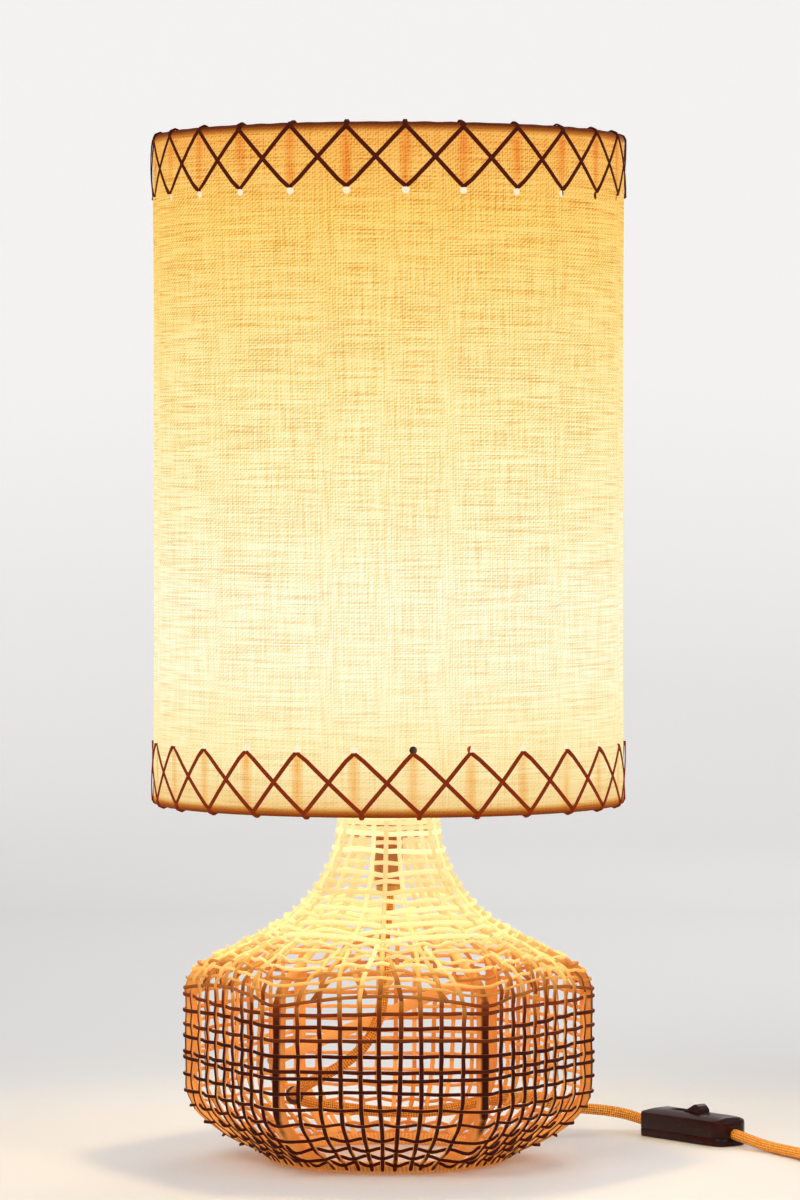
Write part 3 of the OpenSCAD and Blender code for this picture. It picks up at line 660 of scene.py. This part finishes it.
def upright(build, angle_at, s0, s1, radius, count, depth, sides=8, flat=1.35):
    """A stake or pole along the side outline; angle_at, radius and depth place and size it at each s."""
    points, radii = [], []
    turn = rng.uniform(0, FULL_TURN)
    for i in range(count + 1):
        s = s0 + (s1 - s0) * i / count
        angle = angle_at(s)
        w = wall_r(angle) if s < NECK_S else BASE_R
        points.append(around(angle, side_pt(w, depth(w, s), s)))
        radii.append((radius(s) if callable(radius) else radius) * (1 + 0.05 * math.sin(9 * s + turn)))
    a = angle_at((s0 + s1) / 2) + BASE_TURN
    verts, faces = sweep(points, radii, sides, up=(-sind(a), cosd(a), 0), flat=flat)
    build.add(verts, faces, rng.random())
    build.tint[-2:] = [CUT_END] * 2


def stake_line(angle, group, middle, end):
    """Angle of a stake at each s: upright over the wall, then gathered towards its group of three."""
    lean, bow, turn = rng.uniform(-0.8, 0.8), rng.uniform(-0.5, 0.5), rng.uniform(0, FULL_TURN)
    aim = group if middle else group + (angle - group) * 0.35
    end = end or rng.uniform(4.45, 4.94)

    def line(s):
        drift = (lean * (s - 2.4) * 0.5 + bow * math.sin(2.1 * s + turn)) * (1 - 0.8 * share(s - 3.6))
        return angle + drift + (aim - angle) * share((s - 3) / (end - 3)) ** 1.2

    return line, end


def stakes():
    """Nine stakes to a side; on the shoulder they gather in threes and every middle one climbs the neck."""
    wall, spokes, shoulder, neck = Build(), Build(), Build(), Build()
    for side in range(6):
        start_angle = 60 * side
        for j in range(1, 10):
            number, middle = 10 * side + j, j % 3 == 2
            group = start_angle + 15 * ((j - 1) // 3 + 1)
            line, end = stake_line(start_angle + 6 * j, group, middle, 5.06 if middle else None)
            depth = lambda w, s, n=number: stake_depth(n, w, s)
            start = rng.uniform(-0.045, -0.02)
            upright(spokes, line, start, 2.02, STAKE_HALF, 30, depth)
            upright(wall, line, 1.98, 3.02, STAKE_HALF, 26, depth)
            upright(shoulder, line, 2.98, end, STAKE_HALF, 34, depth)
        for n in (1, 2, 3):
            lean = rng.uniform(-1.2, 1.2)
            rising = lambda s, a=start_angle + 15 * n, l=lean: a + l * math.sin(3.1 * (s - NECK_S))
            upright(neck, rising, NECK_S, NECK_END, STAKE_HALF, 44,
                    lambda w, s, n=4 * side + n: stake_depth(n, w, s))
        for first, reach in ((9, 11), (25, -9), (31, 12), (50, -12)):
            first += start_angle + rng.uniform(-2, 2)
            slant = lambda s, a=first, r=reach: a + r * (s - 3.1) / 1.6
            upright(shoulder, slant, 3.1, rng.uniform(4.3, 4.75), SLANT_HALF, 12, lambda *_: SLANT_DEPTH)
    wall.piece("stakes_wall", STAKE, "base", "rattan_brown", "wall_stakes")
    spokes.piece("stakes_foot", STAKE, "base", "rattan_brown", "foot_spokes")
    shoulder.piece("stakes_shoulder", STAKE, "base", "rattan_pale", "shoulder_stakes")
    neck.piece("stakes_neck", STAKE, "base", "rattan_pale", "neck_stakes")


def slim_pole(s):
    """Half thickness of a pole, which is pared down over the shoulder."""
    return POLE_HALF - 2.1 * share((s - 3) / 2)


def knotty_pole(s, knots):
    """Radius of a pole at s, a little thicker at its knots."""
    return slim_pole(s) * (1 + sum(0.12 * math.exp(-((s - n) / 0.05) ** 2) for n in knots))


def poles():
    build = Build()
    for k in range(6):
        knots = [rng.uniform(1.2, 1.7), rng.uniform(3.0, 3.2), rng.uniform(4.6, 5.0)]
        bow, turn = rng.uniform(-0.25, 0.25), rng.uniform(0, FULL_TURN)
        upright(build, lambda s, a=60 * k, b=bow, t=turn: a + b * math.sin(2.1 * s + t), 0.06, NECK_END,
                lambda s, at=knots: knotty_pole(s, at), 90, lambda _, s: POLE_DEPTH + slim_pole(s), 14, 1.0)
    build.piece("poles", POLE, "base", "rattan_light", "frame_poles")


def foot_ring():
    """Ring under the basket, wound closely with split cane."""
    middle, height, core, wind, turns, sides = 77.3, 4.0, 3.45, 0.45, 176, 12
    rows = turns * 6
    verts, tint = [], []
    for i in range(rows):
        a = 360 * i / rows
        for k in range(sides):
            t = 360 * k / sides
            q = core + wind * abs(sind(a * turns / 2 + t / 2))
            reach = middle + q * cosd(t)
            verts.append((reach * cosd(a), reach * sind(a), max(height + q * sind(t), 0.0)))
            tint.append(0.1 + 0.9 * abs(sind(180 * i * turns / rows + 180 * k / sides)))
    build = Build()
    build.add(verts, skin(rows, sides, closed=True, flip=True))
    build.tint = tint
    build.piece("ring_foot", RING, "base", "rattan_light", "foot_ring")


def brace():
    """A cane that crosses the inside of the base on the slant."""
    turn, off, low, high, reach, half_size = 57.5, 9, 78, 112, 128.2, 4
    half = math.sqrt(reach * reach - off * off)
    points = [local((0, 0), turn, t * half, off, (low + high) / 2 + (high - low) / 2 * t)
              for t in (i / 12 - 1 for i in range(25))]
    cane = sweep(points, [half_size * (1 + 0.04 * math.sin(1.9 * i)) for i in range(25)], 12)
    single("brace", cane, RING, "base", "rattan_pale", "cross_brace", tint=0.8)


strands()
stakes()
poles()
foot_ring()
brace()


# ------------------------------ shade
SHADE_R, SHADE_LOW, SHADE_TOP = 158.5, 240.5, 689.5
HEM_R, LINEN_R, LINEN_T, WAIST = 3.5, 158.3, 0.8, 0.4
HOLE_N, HOLE_R, HOLE_IN = 26, 2.6, 44.0
PITCH = 360 / HOLE_N
TOP_TURN, LOW_TURN, LOW_LEAN = -86.0, -84.2, 1.9
HEM_LOW, HEM_HIGH = SHADE_LOW + HEM_R, SHADE_TOP - HEM_R
HOLE_LOW, HOLE_HIGH = SHADE_LOW + HOLE_IN, SHADE_TOP - HOLE_IN
LINEN_LOW, LINEN_HIGH = HEM_LOW + 2.8, HEM_HIGH - 2.8


def linen_r(z):
    """Radius of the stretched linen: it draws in a little between its lacing rows."""
    low, high, fall = HOLE_LOW + 8, HOLE_HIGH - 8, 52
    t = share(min(z - low, high - z) / fall)
    return LINEN_R - WAIST * t * t * (3 - 2 * t)


def linen():
    """A seamless cloth tube with a round hole for every lace crossing."""
    half, block = 8, 4.8
    across = levels(-block, block, 2 * half) + [block]
    arc = math.radians(PITCH) * LINEN_R
    offsets = across[:-1] + levels(block, arc - block, 7)
    cols = len(offsets) * HOLE_N
    foot = levels(LINEN_LOW, HOLE_LOW - block, 4)
    middle = levels(HOLE_LOW + block, HOLE_HIGH - block, 26)[1:]
    head = levels(HOLE_HIGH + block, LINEN_HIGH, 4)[1:] + [LINEN_HIGH]
    heights = foot + [HOLE_LOW + v for v in across] + middle + [HOLE_HIGH + v for v in across] + head
    first = {len(foot): HOLE_LOW, len(foot) + len(across) + len(middle): HOLE_HIGH}
    in_hole = range(half // 2, half + half // 2)

    def place(col, row):
        """Where a grid point lies, drawn out round a hole if one is near."""
        period, k = divmod(col, len(offsets))
        x, z = offsets[k], heights[row]
        for start, centre in first.items():
            i, j = k - half, row - start - half
            ring = max(abs(i), abs(j))
            if 0 < ring <= half:
                turn, size = math.atan2(j, i), math.hypot(i, j) / ring
                t = share((ring - half // 2) / (half - half // 2))
                radius = (HOLE_R + (block - HOLE_R) * t) * (1 + (size - 1) * t)
                x, z = radius * math.cos(turn), centre + radius * math.sin(turn)
        t = share((heights[row] - HOLE_LOW) / (HOLE_HIGH - HOLE_LOW))
        a = LOW_TURN + (TOP_TURN - LOW_TURN) * t + PITCH * period + math.degrees(x / LINEN_R)
        return linen_r(z) * cosd(a), linen_r(z) * sind(a), z

    verts = [place(c, r) for r in range(len(heights)) for c in range(cols)]
    faces = []
    for n, face in enumerate(skin(len(heights), cols)):
        row, col = divmod(n, cols)
        if col % len(offsets) not in in_hole or all(row - start not in in_hole for start in first):
            faces.append(face)
    used = sorted({v for f in faces for v in f})
    index = {v: i for i, v in enumerate(used)}
    return mesh_from("linen", [verts[v] for v in used], [tuple(index[v] for v in f) for f in faces])


# Painted light of the bulb through the cloth, by height, palest in the lower middle; the two hem ramps are
# painted shade where the wire ring and turned hem block the light.
GLOW_BY_HEIGHT = [(0.0, "EBC583"), (0.04, "F3DFA6"), (0.113, "FAF2C2"), (0.199, "FCF8D6"),
                  (0.314, "FDFADC"), (0.457, "FBF5C8"), (0.60, "FAF0B6"), (0.744, "F9E396"),
                  (0.858, "F8D87C"), (0.958, "F3BF66"), (1.0, "F0B45C")]
TOP_HEM_SHADE = [(0.0, "501804"), (0.17, "70300C"), (0.33, "B0661E"), (0.5, "E09A40")]
LOW_HEM_SHADE = [(0.0, "6A2806"), (0.17, "96460E"), (0.33, "C4782A"), (0.5, "E6B05E")]
THREAD, THREADS, TWILL, TWILLS, HEM_FADE = 0.0019, 573, 0.00294, 253, 0.012


def hole_shadow(m, turn, azimuth):
    """1 along the line of each lacing hole of a row, where a lace runs down behind the cloth."""
    steps = (azimuth - math.radians(turn)) / math.radians(PITCH) + 40.5
    away = m.math("ABSOLUTE", m.math("FRACT", steps) - 0.5) * (math.radians(PITCH) * LINEN_R)
    return 1.0 - m.spread(away, 0.6, 5.4)


def height_share(m, z):
    return m.spread(z, SHADE_LOW * MM, SHADE_TOP * MM)


def cloth_look(name, strength):
    """Woven linen made to glow as if lit by the bulb inside: slubs across, a fine thread grid, painted
    shadows of the laces behind the cloth and painted shade at both rims where the wire ring and turned hem
    block the light.
    """
    m = Shade(name, 0.9, Specular_IOR_Level=0.15)
    x, y, z = m.axes(m.place)
    azimuth, height = m.math("ARCTAN2", y, x), height_share(m, z)
    stray = m.noise(90, 2) * 9.0
    weft = m.math("SINE", z * (2 * math.pi / THREAD) + stray)
    warp = m.math("SINE", azimuth * THREADS + stray)
    twill = m.math("SINE", z * (2 * math.pi / TWILL) - azimuth * TWILLS + stray)
    grid = weft * 0.2 + warp * 0.35 + twill * 0.45
    slubs = m.noise(1.0, 3, (26, 26, 1700)) * 0.45 + m.noise(1.0, 2, (1150, 1150, 40)) * 0.25
    weave = slubs + 0.15 + grid * (height * 0.06 + 0.04)
    thread = m.ramp(weave, [(0.38, "CE8A2C"), (0.47, "F8DEA2"), (0.54, "FFFFFF")])
    dash = m.spread(m.noise(1.0, 1, (42, 42, 560)), 0.66, 0.74)
    thread = m.mix(dash * 0.5, thread, m.mix(1.0, thread, "E8A850", "MULTIPLY"))
    cloud = m.noise(1.0, 3, (8, 8, 34))
    glow = m.ramp(height + (cloud - 0.5) * 0.07, GLOW_BY_HEIGHT)
    lit = m.mix(height * 0.5 + 0.45, glow, thread, "MULTIPLY")
    low, high, soft = (HOLE_LOW - 2) * MM, (HOLE_HIGH + 2) * MM, 2 * MM
    upper = hole_shadow(m, TOP_TURN, azimuth) * m.spread(z, high, high + soft)
    lower = hole_shadow(m, LOW_TURN, azimuth) * m.spread(z, low, low - soft)
    shadow = (upper + lower) * m.spread(cloud, 0.2, 0.75)
    lit = m.mix(shadow, lit, m.mix(1.0, lit, m.mix(height, "F6BC5C", "F2AA50"), "MULTIPLY"))
    # Painted shade at both rims, where the wire ring and the turned hem block the bulb's light.
    rim = m.math("MINIMUM", z - SHADE_LOW * MM, SHADE_TOP * MM - z) / HEM_FADE
    edge = m.mix(0.7, m.mix(height, m.ramp(rim, LOW_HEM_SHADE), m.ramp(rim, TOP_HEM_SHADE)), thread, "MULTIPLY")
    lit = m.mix(m.spread(rim, 0.62, 0.36), lit, edge)
    m.glow(lit, strength)
    m.colour(m.mix(0.75, "33220F", lit, "MULTIPLY"))
    m.bump(weave + grid * 0.1, 0.45, 0.0006)
    return m.material


def inside_material():
    """The lit inner face of the linen."""
    m = Shade("linen_inside", 0.9)
    weave = m.noise(1.0, 3, (30, 30, 900))
    m.colour(m.mix(weave, "3A3224", "4E4838"))
    m.glow(m.mix(weave, "FFE9BC", "FFFBE8"), 0.86)
    return m.material


def thong_material():
    """Thin leather, painted darker towards the bright top of the shade and redder at its foot by how the
    shade's light falls on it, with a faint painted glow.
    """
    m = Shade("lace_thong", 0.8, Specular_IOR_Level=0.1)
    grain = m.noise(420, 3)
    light = m.mix(height_share(m, m.axes(m.place)[2]), "8A2E08", "4A1404")
    m.colour(m.mix(grain * 0.6, light, "2A0A02"))
    m.glow(light, 0.25)
    m.bump(grain, 0.4, 0.0004)
    return m.material


LINEN, HEM = cloth_look("linen", 1.06), cloth_look("hem_tape", 0.95)
INSIDE, THONG = inside_material(), thong_material()


def hem(name, z, node):
    """The turned edge of the cloth, folded over the wire ring with a slight pucker."""
    rows, sides = 416, 16
    verts = []
    for i in range(rows):
        a = 360 * i / rows
        pucker = 0.10 * sind(a * HOLE_N * 2) + 0.08 * sind(a * 61)
        for k in range(sides):
            x, y = cosd(360 * k / sides), sind(360 * k / sides)
            q = HEM_R - 0.12 + (pucker if x > 0 else 0)
            r = SHADE_R - HEM_R + q * x * (1.0 if x > 0 else 0.95)
            verts.append((r * cosd(a), r * sind(a), z + q * y))
    tape = verts, skin(rows, sides, closed=True, flip=True)
    return single(name, tape, HEM, "shade", "hem_tape", node)


def ribbon(points, normals, width, thick):
    """A closed flat thong that keeps its face towards the given normals."""
    n = len(points)
    section = [(0.5, 0.18), (0.36, 0.5), (-0.36, 0.5), (-0.5, 0.18)]
    section += [(-x, -y) for x, y in section]
    verts = []
    for i, (p, up) in enumerate(zip(points, normals)):
        d = (points[(i + 1) % n] - points[i - 1]).normalized()
        side = d.cross(up).normalized()
        up = side.cross(d)
        verts += [p + width * x * side + thick * y * up for x, y in section]
    return verts, skin(n, len(section), closed=True)


LACE_W, LACE_T, LACE_ENTRY, LACE_BOW = 2.8, 0.7, 0.4, 0.15


def lace(name, node, turn, way, lean, off, top):
    """One thong round a rim: up outside on the slant, over the hem, down inside and out at the next hole."""
    rim, back, inner = HEM_R + off, SHADE_R - HEM_R, LINEN_R - LINEN_T - off
    hole, over = HOLE_IN - 2.2, 2.5
    draws = random.Random(name)
    points, normals = [], []
    slants = [draws.uniform(-0.5, 0.5) for _ in range(HOLE_N)]
    for k in range(HOLE_N):
        a0, a2 = k * PITCH, (k + 1) * PITCH
        a1, a0 = a2 + lean + slants[k], a0 + LACE_ENTRY
        drop = draws.uniform(-0.4, 0.4)
        steps = [(a0, SHADE_R + off - 0.1, hole - 0.8 + drop, 15)]
        steps += [(a0 + (a1 - a0) * t, SHADE_R + off + LACE_BOW * sind(180 * t), hole + (over - hole) * t, 0)
                  for t in (0.12, 0.3, 0.5, 0.7, 0.88)]
        steps += [(a1, back + rim * cosd(f), HEM_R - rim * sind(f), f) for f in (10, 45, 90, 135, 170)]
        steps += [(a1 + (a2 - a1) * t, back - rim + (inner - back + rim) * t, HEM_R + (hole - HEM_R) * t, 180)
                  for t in (0.12, 0.35, 0.6, 0.85)]
        steps += [(a2, inner + 0.1, hole - 1.0, 215), (a2, LINEN_R - 0.4, hole, 270),
                  (a2 + LACE_ENTRY / 2, SHADE_R + off - 0.4, hole - 0.2, 320)]
        for a, r, depth, face in steps:
            c, s = cosd(turn + way * a), sind(turn + way * a)
            points.append(Vector((r * c, r * s, SHADE_TOP - depth if top else SHADE_LOW + depth)))
            normals.append(Vector((cosd(face) * c, cosd(face) * s, sind(face) * (1 if top else -1))))
    return single(name, ribbon(points, normals, LACE_W, LACE_T), THONG, "shade", "lace_thong", node)


def shade():
    cloth = link("linen", linen(), LINEN, "shade", "linen", "shade_linen")
    cloth.data.materials.append(INSIDE)
    thick = cloth.modifiers.new("thickness", "SOLIDIFY")
    thick.thickness = LINEN_T * MM
    thick.offset = -1
    thick.material_offset = 1
    hems = [hem("tape_top", HEM_HIGH, "hem_top"), hem("tape_low", HEM_LOW, "hem_bottom")]
    laces = [lace("thong_top_a", "lace_top_a", TOP_TURN, 1, 0, 0.4, True),
             lace("thong_top_b", "lace_top_b", TOP_TURN, -1, 0, 1.1, True),
             lace("thong_low_a", "lace_low_a", LOW_TURN, 1, LOW_LEAN, 0.4, False),
             lace("thong_low_b", "lace_low_b", LOW_TURN, -1, -LOW_LEAN, 1.1, False)]


shade()


# ------------------------------ materials of the fittings
def metal(name, dark, light, roughness=0.35):
    m = Shade(name, roughness, Metallic=1.0)
    scratch = m.noise(600, 3, (1, 1, 0.15))
    m.colour(m.mix(scratch, dark, light))
    m.bump(scratch, 0.15, 0.0002)
    return m.material


def matte(name, dark, light, scale, roughness):
    m = Shade(name, roughness)
    grain = m.noise(scale, 3)
    m.colour(m.mix(grain, dark, light))
    m.bump(grain, 0.25, 0.0003)
    return m.material


def bakelite_material():
    """Dark red-brown moulded plastic with a soft gloss and a faint marbling."""
    m = Shade("bakelite", 0.25, Specular_IOR_Level=0.14, Coat_Weight=0.1, Coat_Roughness=0.08)
    m.colour(m.mix(m.noise(60, 4), "120402", "3A0F06"))
    m.bump(m.noise(500, 2), 0.06, 0.0002)
    return m.material


def wood_material():
    m = Shade("turned_wood", 0.45)
    grain, fine = m.noise(90, 4, (1, 1, 0.06)), m.noise(1400, 2, (1, 1, 0.05))
    m.colour(m.mix(grain * 0.7 + fine * 0.3, "8C4A1A", "DDA060"))
    m.bump(fine, 0.2, 0.0003)
    return m.material


def bulb_glass_material():
    m = Shade("bulb_glass", 0.08)
    m.colour("FFF1D6")
    m.glow(m.mix(m.noise(120, 2), "FFD9A0", "FFEFC8"), 3.0)
    return m.material


def filament_material():
    m = Shade("filament", 0.3)
    m.glow(m.mix(m.noise(400, 1), "FFC070", "FFE0A8"), 8.0)
    return m.material


BAKELITE = bakelite_material()
RUBBER = matte("grip_rubber", "2A160C", "553018", 400, 0.6)
STRAP = matte("tie", "4A3A26", "8A7350", 900, 0.85)
FINISH = {
    "brass": metal("brass", "B98A3A", "E0B866"),
    "zinc_steel": metal("zinc_steel", "8F8D88", "C9C6BF", 0.4),
    "bulb_metal": metal("bulb_metal", "9A9A99", "CDCDCB", 0.3),
    "bakelite": BAKELITE,
    "turned_wood": wood_material(),
    "porcelain": matte("porcelain", "CFC7B8", "EFEADF", 200, 0.35),
    "black_glass": matte("black_glass", "0A0A0A", "1C1B1A", 100, 0.15),
    "bulb_glass": bulb_glass_material(),
    "filament": filament_material()}
GLASS_NODES = ("bulb_glass", "bulb_stem", "bulb_filament")


def dress_nodes():
    """Gives every CAD node that stays in view its own finish."""
    for row in frame["record"]["subparts"]:
        if row["material_slot"] in FINISH:
            for slot in frame["nodes"][row["node"]].material_slots:
                slot.material = FINISH[row["material_slot"]]
    for name in GLASS_NODES:
        frame["nodes"][name].visible_shadow = False


dress_nodes()


# ------------------------------ inline switch
SWITCH_H, SEAM_Z, SIDE_Z, PIVOT_Z = 20.0, 5.8, 15.4, 11.0
CROWN_R, CROWN_W, SWITCH_BOW = 29.75, 20.0, 1.4
LEAD_CORNER, FREE_CORNER = 2.5, 9.0
WINDOW = (14.2, 4.9, 6.0)
ROCKER_W, ROCKER_REST, ROCKER_MIDDLE, ROCKER_EDGE = 9.0, -8, (0.0, 7.0), 0.4


def in_place(x, y, z):
    """A point of the switch, whose lead runs along X, put in its place."""
    return local(SWITCH_AT, SWITCH_TURN, x, y, z)


def switch_plan(inset):
    """Rounded plan of the switch: tight corners at the lead's end and round ones at the other."""
    plan = []
    for quarter in range(4):
        free = quarter in (0, 3)
        r = max((FREE_CORNER if free else LEAD_CORNER) - inset, 0.5)
        x = (1 if free else -1) * (SWITCH_L / 2 - inset - r)
        y = (1 if quarter < 2 else -1) * (SWITCH_W / 2 - inset - r)
        turns = [90 * quarter + t for t in levels(0, 90, 8) + [90]]
        plan += [(x + r * cosd(t), y + r * sind(t)) for t in turns]
    return plan


def switch_ring(inset, z):
    """One ring of the switch body, inset from its plan and kept under its crowned top."""
    ring = []
    for x, y in switch_plan(inset):
        bow = SWITCH_BOW * (1 - (2 * x / SWITCH_L) ** 2) if z >= SIDE_Z else 0
        top = SWITCH_H - CROWN_R + math.sqrt(CROWN_R ** 2 - min(y * y, CROWN_W ** 2))
        ring.append(in_place(x, y, min(z, top) + bow))
    return ring


def switch_half(name, rows, node):
    """One half of the switch case, skinned through rows of inset and height."""
    rings = [switch_ring(inset, z) for inset, z in rows]
    return single(name, stacked(rings), BAKELITE, "base", "bakelite", node)


def cut_window(piece):
    """Cuts the rocker's opening out of the top of the switch."""
    x, y, z = WINDOW
    corners = [in_place(a, b, c) for a in (-x, x) for b in (-y, y) for c in (z, 2 * SWITCH_H)]
    box = mesh_from("window", corners, [(0, 1, 3, 2), (4, 6, 7, 5), (0, 4, 5, 1), (2, 3, 7, 6), (0, 2, 6, 4),
                                        (1, 5, 7, 3)], smooth=False)
    tool = new_object("window", box)
    modifier = piece.modifiers.new("window", "BOOLEAN")
    modifier.object = tool
    modifier.solver = "EXACT"
    bpy.context.view_layer.update()
    mesh = bpy.data.meshes.new_from_object(piece.evaluated_get(bpy.context.evaluated_depsgraph_get()))
    piece.modifiers.clear()
    piece.data = mesh
    bpy.data.objects.remove(tool)


def switch():
    foot = [(1.0, 0.0), (0.3, 0.35), (0.0, 1.2), (0.0, SEAM_Z - 0.45), (0.35, SEAM_Z - 0.15)]
    case = [(0.35, SEAM_Z - 0.15), (0.0, SEAM_Z + 0.15), (0.0, SIDE_Z)]
    case += [(1.8 * (1 - cosd(t)), SIDE_Z + 2.6 * sind(t)) for t in (15, 30, 45, 60, 75)]
    case += [(inset, 1.5 * SWITCH_H) for inset in (2.2, 4, 7, 10, 12.5)]
    low = switch_half("switch_base", foot, "switch_cover")
    high = switch_half("switch_top", case, "switch_case")
    cut_window(high)
    return [low, high]


def rocker():
    """Curved rocker with a raised thumb end, softened along its edges."""
    profile = [(-12.5, 5.4), (-12.5, 8.9), (-12.1, 9.5), (-9, 10.0), (-6, 10.3), (-3, 10.7), (0, 11.6),
               (3, 12.6), (5.4, 13.5), (7.2, 13.9), (8.6, 13.7), (10.4, 12.3), (12.2, 10.2), (12.5, 9.7),
               (12.5, 5.4), (6, -2.6), (-6, -2.6)]
    half, c, s = ROCKER_W / 2, cosd(ROCKER_REST), sind(ROCKER_REST)
    edge = [(0.0, 0.7), (0.2, 0.25), (0.6, 0.0)]
    rings = []
    for y, inset in [(v - half, i) for v, i in edge] + [(half - v, i) for v, i in reversed(edge)]:
        ring = []
        for px, pz in profile:
            mx, mz = ROCKER_MIDDLE
            f = 1 - inset / max(math.hypot(px - mx, pz - mz), 1)
            px, pz = mx + (px - mx) * f, mz + (pz - mz) * f
            ring.append(in_place(px * c + pz * s, y, PIVOT_Z - px * s + pz * c))
        rings.append(ring)
    piece = single("rocker", stacked(rings), BAKELITE, "rocker", "bakelite", "switch_rocker", smooth=False)
    soften = piece.modifiers.new("edges", "BEVEL")
    soften.width = ROCKER_EDGE * MM
    soften.segments = 3
    soften.limit_method = "ANGLE"
    return piece


# ------------------------------ plug, ties and grip
PLUG_EDGE, PLUG_SEAM = 2.4, 0.05
TIE_W, TIE_T, TIE_HALF, TIE_LOW, TIE_HIGH = 8.0, 0.9, 10.4, 2.0, 16.0
GRIP_AT, GRIP_WAY = Vector((-64, 23, 40)), Vector((0, 0.9455, -0.3256))


def plug():
    """Two-part moulded plug with rounded edges and a ribbed strain relief."""
    shape = [(0, 6.6), (1.5, 8.2), (4, 11.6), (8, 16.2), (11, 17.5), (16, 17.65), (24, 17.6), (29, 16.6),
             (34, 15.2), (36.2, 14.5), (PLUG_L, 13.9)]
    half = PLUG_T / 2

    def ring(inset, z):
        right = [(min(max(x, inset), PLUG_L - inset), w - inset) for x, w in shape]
        return [local(PLUG_AT, PLUG_TURN, x, y, z) for x, y in right + [(x, -w) for x, w in reversed(right)]]

    edge = [(PLUG_EDGE * (1 - cosd(t)), PLUG_EDGE * sind(t)) for t in (0, 22, 45, 68, 90)]
    low = [(inset, PLUG_EDGE - rise) for inset, rise in reversed(edge)]
    low += [(0, half - 0.35), (0.3, half - PLUG_SEAM)]
    shells = []
    for name, rows, node in (
            ("plug_low", low, "plug_shell_low"),
            ("plug_high", [(inset, PLUG_T - z) for inset, z in reversed(low)], "plug_shell_high")):
        shell = stacked([ring(*row) for row in rows])
        shells.append(single(name, shell, BAKELITE, "base", "bakelite", node))
    line = smooth_path([(382.9, -9.5, 10.5)] + LEAD_C[1:4], 1.0)
    radii = [CORD_R + 0.7 + 1.9 * i / (len(line) - 1) + (0.45 if i % 4 < 2 else 0) for i in range(len(line))]
    return shells + [single("plug_relief", sweep(line, radii, 20), RUBBER, "base", "grip_rubber")]


def ties():
    """Two woven straps that hold the coil together."""
    build = Build()
    for angle in (100, 250):
        c, s = cosd(angle), sind(angle)
        loop, normals = [], []
        for x, z, corner in ((1, TIE_LOW, -45), (1, TIE_HIGH, 45), (-1, TIE_HIGH, 135), (-1, TIE_LOW, 225)):
            for f in (corner - 45, corner - 15, corner + 15, corner + 45):
                reach = COIL_R + x * TIE_HALF + 2.2 * cosd(f)
                height = min(max(z + 1.5 * sind(f), 0.6), 17.9)
                loop.append(Vector((COIL_AT[0] + reach * c, COIL_AT[1] + reach * s, height)))
                normals.append(Vector((cosd(f) * c, cosd(f) * s, sind(f))))
        build.add(*ribbon(loop, normals, TIE_W, TIE_T))
    return build.piece("straps", STRAP, "base", "tie", "coil_ties")


def grip():
    """Clamp sleeve on the lead inside the base, with rounded ends and a waist."""
    side = [(3, 4.7), (2.7, 5.6), (2, 6.1), (1, 6.2)]
    profile = [(-v, r) for v, r in side] + [(0, 5.9)] + side[::-1]
    sleeve = sweep([GRIP_AT + GRIP_WAY * v for v, _ in profile], [r for _, r in profile], 24)
    single("lead_clamp", sleeve, RUBBER, "base", "grip_rubber", "lead_grip")


LEAD_NODES = ("plug_pins", "plug_screw", "switch_yoke", "switch_terminals", "switch_spring", "switch_clamps",
              "switch_screws")
on_lead = switch() + [rocker(), ties()] + plug() + [frame["nodes"][name] for name in LEAD_NODES]
grip()
